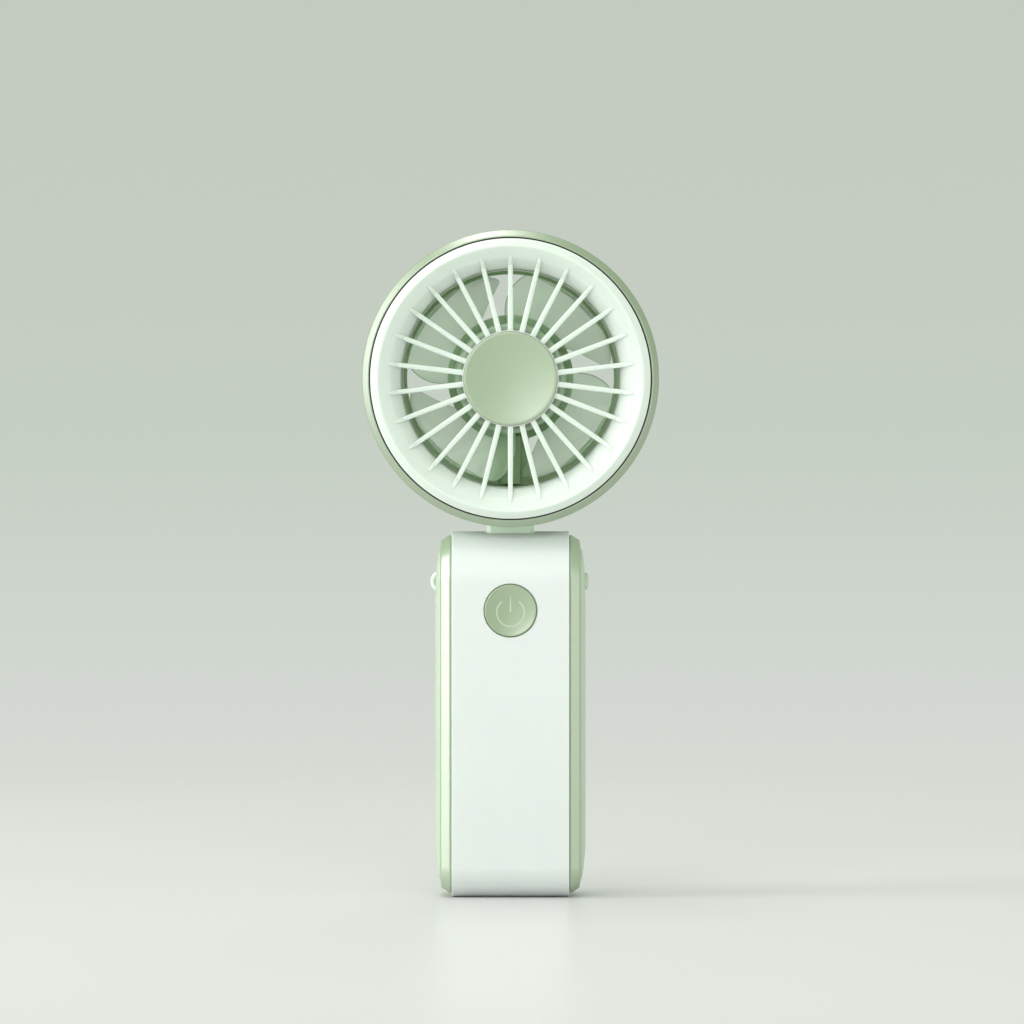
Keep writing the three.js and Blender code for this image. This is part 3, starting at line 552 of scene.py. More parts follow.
MATERIALS = {
    "sleeve": moulded("sleeve_mint", (215, 221, 218), 0.42, drift=0.01, softness=0.3),
    "trim": pearl("trim_pearl", (147, 170, 133), roughness=0.32, ior=3.0),
    "panel": moulded("panel_mint", (190, 208, 183), 0.34),
    "loop": moulded("loop_white", (224, 230, 226), 0.3, drift=0.015),
    # The sign's pale inlay; its lightness is partly the inlay's own colour and partly a painted
    # highlight for the light the engraving catches.
    "mark": moulded("mark_pale_and_highlight", (194, 210, 182), 0.4, drift=0.01),
    "button": pearl("button_pearl", (120, 145, 101), roughness=0.38, ior=3.0),
    "cap": pearl("cap_pearl", (131, 156, 116), roughness=0.38, ior=3.0),
    "shell": pearl("shell_pearl", (110, 136, 92), roughness=0.42, ior=3.4),
    "grille": moulded("grille_white", (212, 221, 213), 0.42, drift=0.01, softness=0.8),
    "green": moulded("deep_green", (156, 184, 140), 0.42, drift=0.03),
    # A lighter copy of the deep green plastic: painted light for the shaded duct end that the
    # intake grille sits in.
    "intake": moulded("deep_green_painted_lighter", (192, 220, 176), 0.42, drift=0.02),
    # The neck's own pale mint, pushed lighter as painted light to make up for the head's shadow
    # over it.
    "neck": moulded("neck_mint", (230, 250, 230), 0.4),
    # The second colour is painted shade for the blades' edge-on trailing edges.
    "blade": clear_mint("blade_mint", (184, 214, 178), (92, 116, 84), (190, 214, 184)),
    "gasket": moulded("gasket_black", (26, 28, 27), 0.6, drift=0.05),
    "inner": moulded("inner_green", (124, 150, 112), 0.5, drift=0.04),
    "switch": moulded("switch_black", (24, 24, 25), 0.45, drift=0.05),
    "steel": turned_metal("bright_steel", (196, 198, 200), 0.27),
    "magnet": moulded("ferrite", (40, 40, 43), 0.55, drift=0.08),
    "stator": turned_metal("copper_windings", (168, 104, 60), 0.41),
    "brass": turned_metal("turned_brass", (184, 148, 88), 0.31),
    "board": circuit("solder_mask"),
    "cell": moulded("cell_sleeve", (52, 112, 158), 0.3, drift=0.04),
    "red": moulded("red_insulation", (176, 48, 40), 0.45, drift=0.04),
    "black": moulded("black_insulation", (26, 26, 28), 0.45, drift=0.04),
}

# ---------------------------------------------------------------- handle


def sleeve():
    """The wrap-around sleeve, with the neck's slot, the button's hole and the socket's mouth."""
    wall = box_outline((-SIDE_X, 0), (SIDE_X, BAND_WALL))
    section = rounded([(x, inset, BAND_FILLET) for x, inset in wall])
    rings = [[(x, y, z) for y, z in inset_outline(inset)] for x, inset in section]
    body = skin(rings, looped=True)
    front = -NECK_THICK - 0.3
    corners = box_outline((front, FOLD_Z + front), (HALF_DEPTH + 2, HANDLE_TOP + 2))
    slot = prism(corners, -NECK_HALF - 0.15, NECK_HALF + 0.15)
    port = prism(stadium(*PORT_MOUTH), HALF_DEPTH - 3, HALF_DEPTH + 1, "Y")
    return cut(body, slot, button_hole(), port)


def button_hole():
    """Cutter for the button's hole, with a chamfered mouth."""
    radius = BUTTON_RADIUS + 0.16
    face = -HALF_DEPTH
    outline = [
        (0, face - 1),
        (radius + 1.1, face - 1),
        (radius + 0.1, face),
        (radius, face + 0.1),
        (radius, face + 2.6),
        (0, face + 2.6),
    ]
    return lathe(outline, 96, closed=False, centre_z=BUTTON_Z)


def stadium(width, height, steps=16):
    """The socket's outline: straight above and below, half-round at its ends."""
    straight = (width - height) / 2
    right = arc((straight, PORT_Z), height / 2, -90, 90, steps)
    left = arc((-straight, PORT_Z), height / 2, 90, 270, steps)
    return right + left


def side_frame():
    """The right-hand trim ring; its section is (outwards from the sleeve, inset)."""
    section = rounded([
        (0.05, 1.4),
        (0.05, 0.6, 0.4),
        (2.7, 2.35, 0.55),
        (3.0, 4.25, 0.16),
        (1.3, 4.35),
        (1.3, 10),
        (0.05, 10),
    ], step=7)
    rings = [[(SIDE_X + out, y, z) for y, z in inset_outline(inset)] for out, inset in section]
    return skin(rings, looped=True)


def side_panel():
    """A pillow whose outline grows rounder towards its ridge, hollow behind, with a dimple."""
    edge_half, edge_corner, edge_floor = 8.45, 3.5, 4.55

    def ring(share, out):
        half = edge_half * (1 - share) + 0.02
        grown = min(1, share * 2.2)
        corner = min(edge_corner + (half - edge_corner) * grown, half)
        outline = handle_outline(half, corner, edge_floor + edge_half * share)
        return [(SIDE_X + out, y, z) for y, z in outline]

    hollow = [ring(0.85, 2.45), ring(0.4, 2.45), ring(0.24, 2.3), ring(0.15, 1.45)]
    rim = [ring(0, 1.45), ring(0, 2.8), ring(0.004, 3.05), ring(0.014, 3.2)]
    rim += [ring(0.03, COVER_EDGE)]
    crown = []
    steps = 14
    for i in range(1, steps + 1):
        share = 0.03 + 0.95 * i / steps
        crown.append(ring(share, COVER_EDGE + CROWN_RISE * (1 - (1 - share) ** 1.5)))
    return cut(skin(hollow + rim + crown), dimple())


def dimple():
    """Cutter for the round dish on the hinge's axis, with rounded edges."""
    mouth = SIDE_X + COVER_EDGE + CROWN_RISE
    profile = rounded([
        (0, DIMPLE_X),
        (3.5, DIMPLE_X, 0.5),
        (3.75, mouth - 0.05, 0.3),
        (4.6, mouth + 0.2),
    ], False)
    return about_x(profile + [(4.6, mouth + 1), (0, mouth + 1)])


def about_x(profile, steps=64):
    """Turns (radius, x) points round the hinge's axis."""
    bm = lathe(profile, steps, closed=False, centre_z=0)
    bmesh.ops.rotate(bm, matrix=Matrix.Rotation(-math.pi / 2, 3, "Z"), verts=bm.verts)
    bmesh.ops.translate(bm, vec=(0, 0, FOLD_Z), verts=bm.verts)
    return bm


def lanyard_loop():
    """A round-wire staple on the left cover."""
    centre_x, arch, wire = 17.8, 2.4, 0.6
    foot = DIMPLE_X + 0.06
    path = [(-foot, 0, FOLD_Z - arch)]
    path += [(-x, 0, z) for x, z in arc((centre_x, FOLD_Z), arch, -90, 90, 28) if x > foot]
    path += [(-foot, 0, FOLD_Z + arch)]
    return tube(path, wire, 20)


def hinge_cap():
    """A low round cap in the right cover's dimple."""
    foot, face, radius = DIMPLE_X + 0.06, DIMPLE_X + 1.7, 2.25
    crown = [(r, face - 0.1 * (r / 1.2) ** 2) for r in (0, 0.6, 1.2)]
    side = rounded([
        (1.3, face - 0.12),
        (radius, face - 0.3, 0.8),
        (radius, foot),
        (0, foot),
    ], False, step=12)
    return about_x(crown + side, 56)


def power_symbol(ring_front, bar_front, back):
    """The power sign as a solid: an open ring and an upright bar."""
    half = MARK_LINE / 2
    centre = (0, BUTTON_Z - 0.5)
    outer = arc(centre, MARK_RADIUS + half, 128, 412, 56)
    inner = arc(centre, MARK_RADIUS - half, 412, 128, 56)
    ring = prism(outer + inner, ring_front, back, "Y")
    upright = box_outline((-half, BUTTON_Z - 0.4), (half, BUTTON_Z + 3.9))
    return merged(ring, prism(upright, bar_front, back, "Y"))


def power_button():
    """The dished button with its engraved sign, its flange behind the sleeve and its stem."""
    face = -HALF_DEPTH
    radius, stem_radius, stem_end = BUTTON_RADIUS, 1.6, -10.03
    flange = face + BAND_WALL + 0.15
    dish = [(r, face + 0.42 - 0.5 * (r / 6.3) ** 2) for r in (0, 1.2, 2.4, 3.6, 4.6, 5.4, 6.0)]
    rim = rounded([
        (6.25, face - 0.1),
        (6.55, face - 0.13, 0.12),
        (radius, face + 0.2, 0.12),
        (radius, flange),
    ], False)
    tail = [
        (radius + BUTTON_FLANGE, flange),
        (radius + BUTTON_FLANGE, flange + 0.6),
        (stem_radius, flange + 0.6),
        (stem_radius, stem_end),
        (0, stem_end),
    ]
    body = lathe(dish + rim + tail, 96, closed=False, centre_z=BUTTON_Z)
    return cut(body, power_symbol(face - 1, face - 1, face + 0.62))


def power_mark():
    """The pale inlay that fills the engraved sign to just under the dished face; its pale colour is
    partly the inlay's own and partly a painted highlight.
    """
    face = -HALF_DEPTH
    return power_symbol(face + 0.34, face + 0.46, face + 0.6)


def charging_port():
    """The charging socket's drawn shell with the tongue inside it."""
    back, front = port_low.y, port_high.y
    shell = prism(stadium(*PORT_SHELL), back, front, "Y", bevel=0.06, segments=2)
    hollow = prism(stadium(*PORT_HOLLOW), back + 1.2, front + 1, "Y")
    flat = box_outline((-3.2, PORT_Z - 0.35), (3.2, PORT_Z + 0.35))
    tongue = prism(flat, back + 1, front - 0.9, "Y", 0.08, 2)
    return join(cut(shell, hollow), tongue)


# ---------------------------------------------------------------- neck and head


def lead_channel():
    """Cutter for the motor leads' way from the motor plate down to the hinge."""
    points = [
        (0, PLATE_Y + 0.75, HEAD_Z - 10.8),
        (0, PLATE_Y + 0.75, 112),
        (0, PLATE_Y + 0.75, 107),
        (0, 3.8, 101.6),
        (0, 0.5, 98.4),
        (0, 0, 94),
        (0, 0, FOLD_Z + 4.5),
    ]
    return tube(smooth_path(points), LEAD_CHANNEL)


def smooth_path(points, steps=8):
    """Catmull-Rom points through the given ones."""
    ends = [points[0]] + list(points) + [points[-1]]
    path = []
    for i in range(1, len(ends) - 2):
        a, b, c, d = (Vector(p) for p in ends[i - 1:i + 3])
        for k in range(steps):
            t = k / steps
            path.append(0.5 * ((2 * b) + (c - a) * t + (2 * a - 5 * b + 4 * c - d) * t ** 2
                               + (3 * b - a - 3 * c + d) * t ** 3))
    path.append(Vector(points[-1]))
    return path


def neck_arm():
    """The hinge drum, the arm above it and the jog that the motor bracket is keyed into."""
    half, thick, chamfer = NECK_HALF, NECK_THICK, 1.0
    drum = bar("X", DRUM_RADIUS, -half, half, (0, FOLD_Z), 96, bevel=0.35)
    edges = [
        (-half, chamfer - thick),
        (chamfer - half, -thick),
        (half - chamfer, -thick),
        (half, chamfer - thick),
    ]
    edges += [(-x, -y) for x, y in edges]
    arm = prism(rounded([(x, y, 0.25) for x, y in edges], step=15), FOLD_Z, 99, "Z")
    jog = prism([
        (-thick, 98.6),
        (thick, 98.6),
        (STRUT_BACK, 101.2),
        (STRUT_BACK, NECK_TOP),
        (PLATE_Y, NECK_TOP),
        (-thick, 99.6),
    ], -half, half)
    pin_hole = bar("X", PIN_RADIUS + 0.05, -10, 10, (0, FOLD_Z), 64)
    mortises = [tenon(side, 0.15) for side in (-1, 1)]
    return cut(join(drum, arm, jog), pin_hole, lead_channel(), *mortises)


def tenon(side, clearance):
    """One of the two keys between neck and bracket; side is -1 or 1."""
    near, far = sorted((side * (2.6 - clearance), side * (4.8 + clearance)))
    outline = box_outline((near, 101.9 - clearance), (far, NECK_TOP + 0.8))
    return prism(outline, PLATE_Y + 0.9 - clearance, PLATE_Y + 2.3 + clearance, "Y")


def motor_bracket():
    """The tapered strut and the round plate that the motor is screwed to."""
    low, high = NECK_TOP + 0.3, HEAD_Z - 14
    taper = [(-6.4, low), (6.4, low), (4.5, high), (-4.5, high)]
    strut = prism(taper, PLATE_Y, STRUT_BACK, "Y", 0.35)
    plate = bar("Y", PLATE_RADIUS, PLATE_Y, PLATE_BACK, (0, HEAD_Z), HUB_STEPS, bevel=0.3)
    body = join(strut, plate, merged(*[tenon(side, 0) for side in (-1, 1)]))
    channel = prism(box_outline((-1.6, 107), (1.6, HEAD_Z - 9)), PLATE_Y - 1, PLATE_Y + 1.4, "Y")
    body = cut(body, channel)
    holes = [lead_channel()]
    for angle in SCREW_ANGLES:
        x, z = on_head(MOTOR_SCREW_CIRCLE, angle)
        holes.append(screw_hole(x, z, PLATE_Y - 1, PLATE_BACK - 0.9, PLATE_BACK + 1))
    return cut(body, *holes)


def screw_hole(x, z, low, step, high):
    """Cutter for a clearance hole from low to step and a counterbore from step to high."""
    clearance, counterbore = 0.95, 1.85
    outline = [
        (0, low),
        (clearance, low),
        (clearance, step),
        (counterbore, step),
        (counterbore, high),
        (0, high),
    ]
    hole = lathe(outline, 32, closed=False, centre_z=z)
    bmesh.ops.translate(hole, vec=(x, 0, 0), verts=hole.verts)
    return hole


def wire_cover():
    """The strip that closes the strut's wire channel."""
    low = HEAD_Z - DUCT_RADIUS + 0.4
    high = HEAD_Z - HUB_RADIUS - 0.6
    return prism(box_outline((-2.7, low), (2.7, high)), PLATE_Y - 1, PLATE_Y - 0.05, "Y", 0.25)


def rear_shell():
    """The case and the duct in one moulding, as a section of (radius, y) round the head's axis."""
    inner = SHELL_RADIUS - SHELL_WALL
    lip = BEZEL_RADIUS + 0.35
    outline = rounded([
        (lip, SHELL_FRONT, 0.12),
        (36.9, SHELL_FRONT, 0.4),
        (SHELL_RADIUS, SHELL_FRONT + 1.6, 0.9),
        (SHELL_RADIUS, REAR_Y, 8),
        (DUCT_RADIUS, REAR_Y, 0.6),
        (DUCT_RADIUS, -7, 0.3),
        (DUCT_OUTER, -7, 0.3),
        (DUCT_OUTER, 11.7, 0.5),
        (inner, 11.7, 6.5),
        (inner, -11.2),
        (lip, -11.2),
    ], step=7)
    body = lathe(outline, RING_STEPS)
    half = NECK_HALF + 0.15
    neck_outline = box_outline((-NECK_THICK - 0.15, 94), (NECK_THICK + 0.15, 99.5))
    neck_window = prism(neck_outline, -half, half)
    strut_outline = box_outline((-6.8, 103), (6.8, HEAD_Z - DUCT_RADIUS + 3))
    strut_window = prism(strut_outline, PLATE_Y - 1.2, PLATE_Y + 3.5, "Y")
    holes = []
    for angle in SCREW_ANGLES:
        x, z = on_head(CASE_SCREW_CIRCLE, angle)
        holes.append(screw_hole(x, z, 11, REAR_Y - 1.1, REAR_Y + 1))
    return cut(body, neck_window, strut_window, *holes)


def radial_bar(degrees, stations, section):
    """A bar along a radius; section(radius) gives its cross-section as (across, y) points."""
    angle = math.radians(degrees)
    along = Vector((math.cos(angle), 0, math.sin(angle)))
    across = Vector((-math.sin(angle), 0, math.cos(angle)))
    rings = []
    for radius in stations:
        start = Vector((0, 0, HEAD_Z)) + along * radius
        rings.append([start + across * a + Vector((0, y, 0)) for a, y in section(radius)])
    return skin(rings)


def front_spoke(radius):
    """The spoke narrows outwards, then climbs the funnel's wall and runs out to a point."""
    share = (radius - SPOKE_IN) / (SPOKE_BEND - SPOKE_IN)
    climb = max(0, (radius - SPOKE_BEND) / (SPOKE_OUT - SPOKE_BEND))
    half = 0.73 - 0.11 * min(1, share) - 0.4 * climb ** 2
    front = -11.35 - 1.03 * (climb + math.sin(math.pi / 2 * climb))
    back = -9.4 - 1.9 * climb
    return rounded_bar(half, (back, 0.12), (front, half * 0.6), 18)


def rear_rib(_radius):
    """The rear grille's ribs keep one section all the way."""
    return rounded_bar(0.5, (10.4, 0.2), (12.4, 0.25), 22)


def rounded_bar(half, first, last, step):
    """A bar's section between two edges, each given as (y, fillet radius)."""
    corners = [(-half, *first), (half, *first), (half, *last), (-half, *last)]
    return rounded(corners, step=step)


def front_grille():
    """Bezel, funnel, spokes, hub and screw posts in one moulding."""
    bezel = lathe(rounded([
        (BEZEL_RADIUS, -9.2),
        (BEZEL_RADIUS, -13.65, 0.3),
        (34.3, BEZEL_FRONT, 0.6),
        (31.1, -12.55, 3.5),
        (28.5, -9.3, 1.5),
        (28.35, -7.4),
        (30, -7.4),
        (30.5, -8.7),
        (31.9, -11),
        (34.3, -12.3),
        (34.9, -12.3),
        (34.9, -9.2),
    ], step=5), RING_STEPS)
    hub = lathe(rounded([
        (0, -10.6),
        (12.16, -10.6),
        (12.18, -11.65, 0.06),
        (12.45, -11.55, 0.15),
        (12.45, -8.9, 0.2),
        (0, -8.9),
    ], False), closed=False)
    steps = 7
    climb = [SPOKE_BEND + (SPOKE_OUT - SPOKE_BEND) * i / steps for i in range(steps + 1)]
    stations = [SPOKE_IN, 20] + climb
    spokes = [radial_bar(90 + k * SPOKE_PITCH, stations, front_spoke) for k in range(SPOKES)]
    posts = []
    for angle in SCREW_ANGLES:
        x, z = on_head(CASE_SCREW_CIRCLE, angle)
        post = bar("Y", 1.8, -11.1, 10.8, (x, z), 24)
        posts.append(cut(post, bar("Y", 0.85, 4.5, 12, (x, z), 16)))
    return join(bezel, merged(*spokes), hub, merged(*posts))


def centre_cap():
    """The dished cap on the front grille's hub."""
    dish_radius, seat = 11.5, -10.65
    stations = (0, 1.5, 3, 4.5, 6, 7.5, 9, 10.3, 11.2)
    dish = [(r, -11.0 - 0.9 * (r / dish_radius) ** 2) for r in stations]
    rim = rounded([
        (dish_radius, -11.9),
        (CAP_RADIUS, -11.86, 0.2),
        (CAP_RADIUS, seat),
        (0, seat),
    ], False)
    return lathe(dish + rim, closed=False)


def bezel_gasket():
    """The thin black ring between bezel and shell."""
    inner, outer = BEZEL_RADIUS + 0.03, BEZEL_RADIUS + 0.32
    back, front = -11.4, -12.55
    section = rounded([(inner, back), (outer, back), (outer, front, 0.1), (inner, front, 0.1)])
    return lathe(section, RING_STEPS)


def rear_grille():
    """The lip that fills the duct's end, the ribs and the hub with its raised rim."""
    inner, outer, front, back = 27, DUCT_RADIUS - 0.1, 9.8, 13.4
    section = rounded([(outer, front), (outer, back, 0.3), (inner, back, 0.3), (inner, front, 0.3)])
    lip = lathe(section, RING_STEPS)
    hub = lathe(rounded([
        (0, 10.2),
        (PLATE_RADIUS, 10.2, 0.2),
        (PLATE_RADIUS, 13, 1),
        (13.4, 13, 0.25),
        (13.1, 12.6, 0.2),
        (0, 12.6),
    ], False), closed=False)
    ribs = [radial_bar(90 + k * SPOKE_PITCH, (15.5, 27.4), rear_rib) for k in range(SPOKES)]
    return join(lip, merged(*ribs), hub)


# ---------------------------------------------------------------- impeller and screws


def leading_angle(share):
    """Where a blade's leading edge is, in degrees, at a share of the way from root to tip."""
    corner = 8 * max(0, (share - 0.85) / 0.15) ** 2
    return 5 + 33 * (1 - share) ** 1.6 + corner


def trailing_angle(share):
    """Where a blade's trailing edge is, in the same terms."""
    return 95.5 - 13.5 * share ** 2.6


def blade(turn, rows=26, columns=30):
    """A swept blade as rings of points from root to tip, each ring one closed section."""
    rear, front, half_thick = 3.9, -4.9, 0.52
    rings = []
    for i in range(rows + 1):
        share = i / rows
        radius = BLADE_ROOT + (TIP_RADIUS - BLADE_ROOT) * share
        lead, trail = leading_angle(share), trailing_angle(share)
        thin = 1 - 0.35 * share
        ring = []
        for k in range(2 * columns):
            around = math.pi * k / columns
            chord = (1 - math.cos(around)) / 2
            fullness = abs(math.sin(around)) ** 0.35
            side = 1 if k < columns else -1
            x, z = on_head(radius, turn + lead + (trail - lead) * chord)
            y = rear + (front - rear) * chord + side * half_thick * thin * fullness
            ring.append((x, y, z))
        rings.append(ring)
    return skin(rings)


def impeller():
    """The fan wheel: a hub that the motor fits into, with four blades."""
    hub = lathe(rounded([
        (0, -7.8),
        (HUB_RADIUS, -7.8, 1.1),
        (HUB_RADIUS, 5.2, 0.3),
        (12.9, 5.2, 0.2),
        (12.9, -6, 0.5),
        (3, -6),
        (3, -4.2, 0.2),
        (1.03, -4.2),
        (1.03, -6.9),
        (0, -6.9),
    ], False), closed=False)
    blades = [blade(k * 360 / BLADES) for k in range(BLADES)]
    wheel = join(hub, merged(*blades))
    paint_trailing_edge_shade(wheel)
    return wheel


def paint_trailing_edge_shade(wheel):
    """Stores 1 on the blades' trailing edges, which are seen edge-on, and 0 elsewhere; the blade
    material paints dark shade where it is 1.
    """
    # This layer tells the blade material where to paint the dark edge shade.
    rim = wheel.verts.layers.float.new("rim")
    pitch = 360 / BLADES
    edge_shade_width = 0.9
    for vert in wheel.verts:
        x, z = vert.co.x, vert.co.z - HEAD_Z
        share = min(1, (math.hypot(x, z) - BLADE_ROOT) / (TIP_RADIUS - BLADE_ROOT))
        if share > 0.07:
            lead, trail = leading_angle(share), trailing_angle(share)
            past_lead = (math.degrees(math.atan2(z, x)) - lead) % pitch
            to_trail = trail - lead - past_lead
            away = min(abs(to_trail), abs(to_trail - pitch))
            vert[rim] = max(0, 1 - away / edge_shade_width)


def cross_recess(x, z, face, size):
    """Cutter for a cross recess in a screw's head."""
    arm, low, high = size * 0.22, face - 0.45, face + 1
    upright = prism(box_outline((x - arm, z - size), (x + arm, z + size)), low, high, "Y")
    level = prism(box_outline((x - size, z - arm), (x + size, z + arm)), low, high, "Y")
    return join(upright, level)


def screw(x, z, seat, length):
    """A pan-head screw along Y with a cross recess, its head towards +Y."""
    shank, head, top, end = 0.72, 1.6, seat + 0.8, seat - length
    outline = rounded([
        (0, end),
        (0.45, end),
        (shank, end + 0.5),
        (shank, seat),
        (head, seat, 0.08),
        (head, top, 0.4),
        (0, top),
    ], False)
    body = lathe(outline, 40, closed=False, centre_z=z)
    bmesh.ops.translate(body, vec=(x, 0, 0), verts=body.verts)
    return cut(body, cross_recess(x, z, top, 0.95))


# ---------------------------------------------------------------- pieces in place


def both_sides(name, bm, finish, node):
    """Places a right-hand piece and its mirror image on the handle."""
    piece(f"{name}_left", mirror_x(bm), finish, "handle", [f"{node}_left"])
    piece(f"{name}_right", bm, finish, "handle", [f"{node}_right"])


def build_handle():
    """The handle's pieces and the button."""
    piece("sleeve", sleeve(), "sleeve", "handle", ["handle_band"])
    both_sides("edge_trim", side_frame(), "trim", "side_frame")
    both_sides("side_cover", side_panel(), "panel", "side_panel")
    piece("lanyard_staple", lanyard_loop(), "loop", "handle", ["lanyard_loop"])
    piece("round_cap", hinge_cap(), "panel", "handle", ["hinge_cap"])
    piece("thumb_button", power_button(), "button", "button", ["power_button"])
    piece("power_mark", power_mark(), "mark", "button", [])
    piece("usb_socket", charging_port(), "steel", "handle", ["charging_port"])


def build_head():
    """The head's pieces, the fan wheel and the screws."""
    piece("neck", neck_arm(), "neck", "head", ["neck_arm"])
    piece("bracket", motor_bracket(), "green", "head", ["motor_bracket"])
    piece("strut_cover", wire_cover(), "green", "head", ["wire_cover"])
    piece("head_shell", rear_shell(), "shell", "head", ["rear_shell"])
    piece("grille", front_grille(), "grille", "head", ["front_grille"])
    piece("cap", centre_cap(), "cap", "head", ["centre_cap"])
    piece("gasket", bezel_gasket(), "gasket", "head", ["bezel_gasket"])
    piece("intake_grille", rear_grille(), "intake", "head", ["rear_grille"])
    piece("fan_wheel", impeller(), "blade", "impeller", ["impeller"])
    for i, angle in enumerate(SCREW_ANGLES, 1):
        x, z = on_head(CASE_SCREW_CIRCLE, angle)
        case_screw = screw(x, z, REAR_Y - 1.08, 7)
        piece(f"case_screw_{i}", case_screw, "steel", "head", [f"shell_screw_{i}"])
        x, z = on_head(MOTOR_SCREW_CIRCLE, angle)
        plate_screw = screw(x, z, PLATE_Y + 1.52, 2.9)
        piece(f"plate_screw_{i}", plate_screw, "steel", "head", [f"motor_screw_{i}"])


# CAD nodes whose shape stays, by the finish they get
KEPT_NODES = {
    "inner": ["chassis"],
    "cell": ["battery_cell"],
    "board": ["control_board", "charging_board"],
    "switch": ["tact_switch", "switch_plunger"],
    "red": ["battery_lead_red", "motor_lead_red"],
    "black": ["battery_lead_black", "motor_lead_black"],
    "brass": ["motor_base"],
    "stator": ["motor_stator"],
    "magnet": ["rotor_magnet"],
    "steel": [
        "rotor_can",
        "motor_shaft",
        "bearing_front",
        "bearing_rear",
        "pivot_pin",
        "hinge_washer_right",
        "hinge_washer_left",
        "side_screw_right_low",
        "side_screw_right_high",
        "side_screw_left_low",
        "side_screw_left_high",
    ],
}


def finish_kept_nodes():
    """Gives each CAD node that stays its finish and smooth shading."""
    for finish, names in KEPT_NODES.items():
        for name in names:
            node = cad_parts[name]
            node.data.materials.clear()
            node.data.materials.append(MATERIALS[finish])
            smooth(node.data)


# ---------------------------------------------------------------- floor, light and camera

# Lengths from here on are in metres.
FLOOR_RADIUS = 0.72
FADE_START = 0.25

# The sky's colours from below the horizon to overhead.
SKY = (
    (0.0, (232, 235, 229)),
    (0.3, (210, 216, 209)),
    (0.43, (198, 207, 196)),
    (0.6, (196, 203, 193)),
    (1.0, (190, 199, 187)),
)

# Each panel's name, place, size and power, and whether gloss shows it.
PANELS = (
    ("left_key", (-1.2, -0.25, 0.45), (0.55, 1.3), 12, True),
    ("high_left_fill", (-0.65, -1.6, 0.76), (1.0, 1.0), 10, True),
    ("top_fill", (-0.2, 0, 1.3), (1.3, 0.4), 8, True),
    ("right_fill", (1.05, -0.75, 0.25), (0.4, 0.9), 2.6, True),
    ("front_fill", (0.3, -1.6, 0.95), (0.6, 0.6), 4.4, False),
    ("back_fill", (0.3, 1.7, 0.5), (0.9, 0.9), 7, False),
)
PANEL_TARGET = Vector((0, 0, 0.1))

CAMERA_TARGET = Vector((0.0004, 0, 0.0997))
CAMERA_DISTANCE = 2.0
CAMERA_ELEVATION = math.radians(1.5)
FRAME_HEIGHT = 0.2662
SENSOR_WIDTH = 36.0


def floor():
    """A wide pale table top whose edge fades out."""
    bm = bmesh.new()
    bmesh.ops.create_circle(bm, cap_ends=True, segments=96, radius=FLOOR_RADIUS)
    data = bpy.data.meshes.new("floor")
    bm.to_mesh(data)
    table = bpy.data.objects.new("floor", data)
    bpy.context.scene.collection.objects.link(table)
    data.materials.append(table_top())


def table_top():
    """A pale satin surface, solid in the middle and clear at its edge."""
    material, nodes, links, shader = new_material("table_top")
    shader.inputs["Base Color"].default_value = linear(207, 206, 206)
    shader.inputs["Roughness"].default_value = 0.32
    shader.inputs["Specular IOR Level"].default_value = 0.25
    reach = nodes.new("ShaderNodeVectorMath")
    reach.operation = "LENGTH"
    links.new(nodes.new("ShaderNodeTexCoord").outputs["Object"], reach.inputs[0])
    fade = nodes.new("ShaderNodeMapRange")
    fade.interpolation_type = "SMOOTHSTEP"
    fade.inputs["From Min"].default_value = FADE_START
    fade.inputs["From Max"].default_value = FLOOR_RADIUS * 0.97
    fade.inputs["To Min"].default_value = 1
    fade.inputs["To Max"].default_value = 0
    links.new(reach.outputs["Value"], fade.inputs["Value"])
    links.new(fade.outputs["Result"], shader.inputs["Alpha"])
    return material


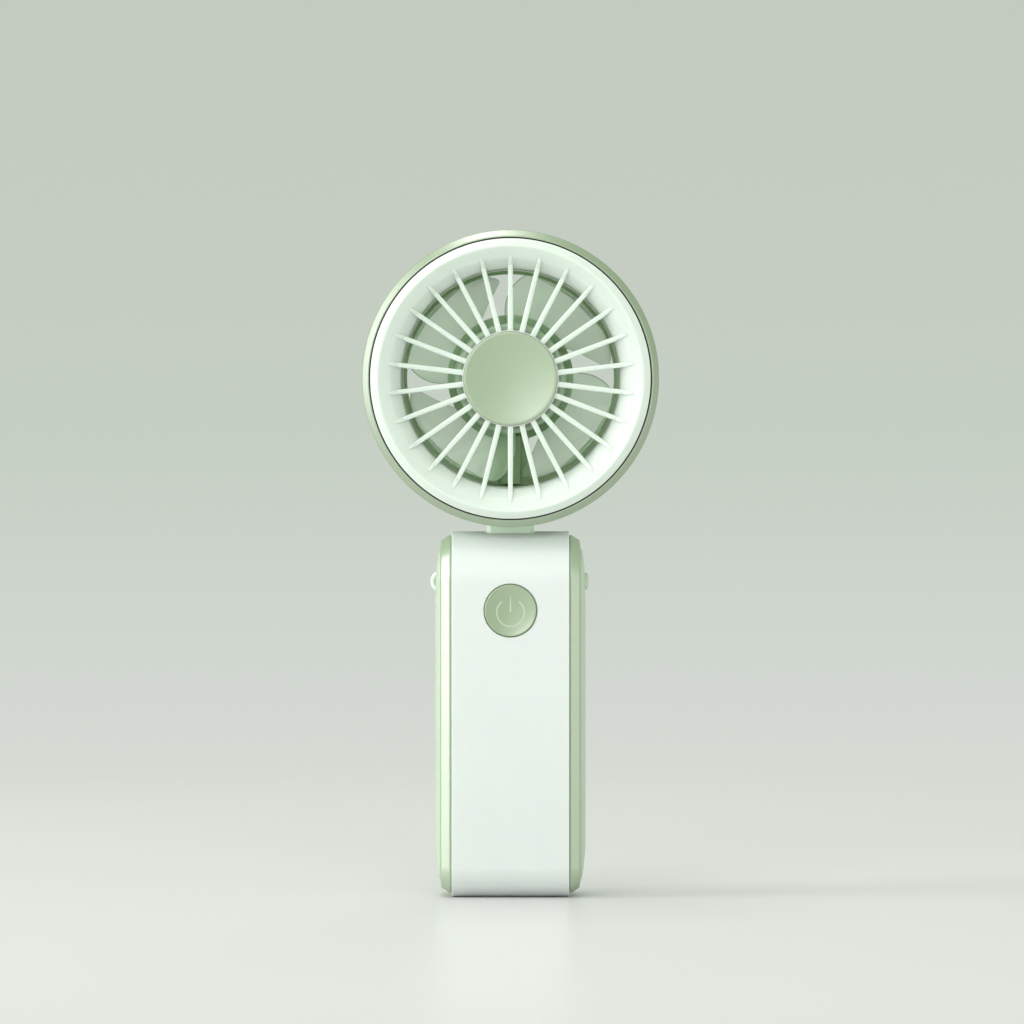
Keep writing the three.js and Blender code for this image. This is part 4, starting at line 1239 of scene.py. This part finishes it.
def backdrop_light():
    """A pale grey-green sky, lightest below the horizon."""
    world = bpy.data.worlds.new("studio")
    bpy.context.scene.world = world
    world.use_nodes = True
    nodes, links = world.node_tree.nodes, world.node_tree.links
    background = nodes["Background"]
    split = nodes.new("ShaderNodeSeparateXYZ")
    links.new(nodes.new("ShaderNodeTexCoord").outputs["Generated"], split.inputs["Vector"])
    height = nodes.new("ShaderNodeMapRange")
    height.inputs["From Min"].default_value = -0.12
    height.inputs["From Max"].default_value = 0.12
    links.new(split.outputs["Z"], height.inputs["Value"])
    ramp = nodes.new("ShaderNodeValToRGB")
    stops = ramp.color_ramp.elements
    stops[0].color = linear(*SKY[0][1])
    stops[1].color = linear(*SKY[-1][1])
    for position, color in SKY[1:-1]:
        stops.new(position).color = linear(*color)
    links.new(height.outputs["Result"], ramp.inputs["Fac"])
    links.new(ramp.outputs["Color"], background.inputs["Color"])
    background.inputs["Strength"].default_value = 1.0


def soft_light(name, place, size, power, in_gloss):
    """A soft panel aimed at the fan; it lights, but isn't seen, not even through clear parts."""
    data = bpy.data.lights.new(name, "AREA")
    data.shape = "RECTANGLE"
    data.size, data.size_y = size
    data.energy = power
    lamp = bpy.data.objects.new(name, data)
    bpy.context.scene.collection.objects.link(lamp)
    lamp.location = place
    lamp.rotation_euler = (PANEL_TARGET - Vector(place)).to_track_quat("-Z", "Y").to_euler()
    lamp.visible_camera = False
    lamp.visible_transmission = False
    lamp.visible_glossy = in_gloss


def camera():
    """A long lens, nearly level, straight in front of the fan."""
    data = bpy.data.cameras.new("camera")
    data.sensor_width = SENSOR_WIDTH
    data.lens = SENSOR_WIDTH * CAMERA_DISTANCE / FRAME_HEIGHT
    data.clip_start = 0.05
    eye = bpy.data.objects.new("camera", data)
    bpy.context.scene.collection.objects.link(eye)
    towards_eye = Vector((0, -math.cos(CAMERA_ELEVATION), math.sin(CAMERA_ELEVATION)))
    eye.location = CAMERA_TARGET + CAMERA_DISTANCE * towards_eye
    eye.rotation_euler = (-towards_eye).to_track_quat("-Z", "Y").to_euler()
    bpy.context.scene.camera = eye


camera()
build_handle()
build_head()
finish_kept_nodes()
floor()
backdrop_light()
for panel in PANELS:
    soft_light(*panel)
bpy.context.scene.view_settings.view_transform = "Standard"
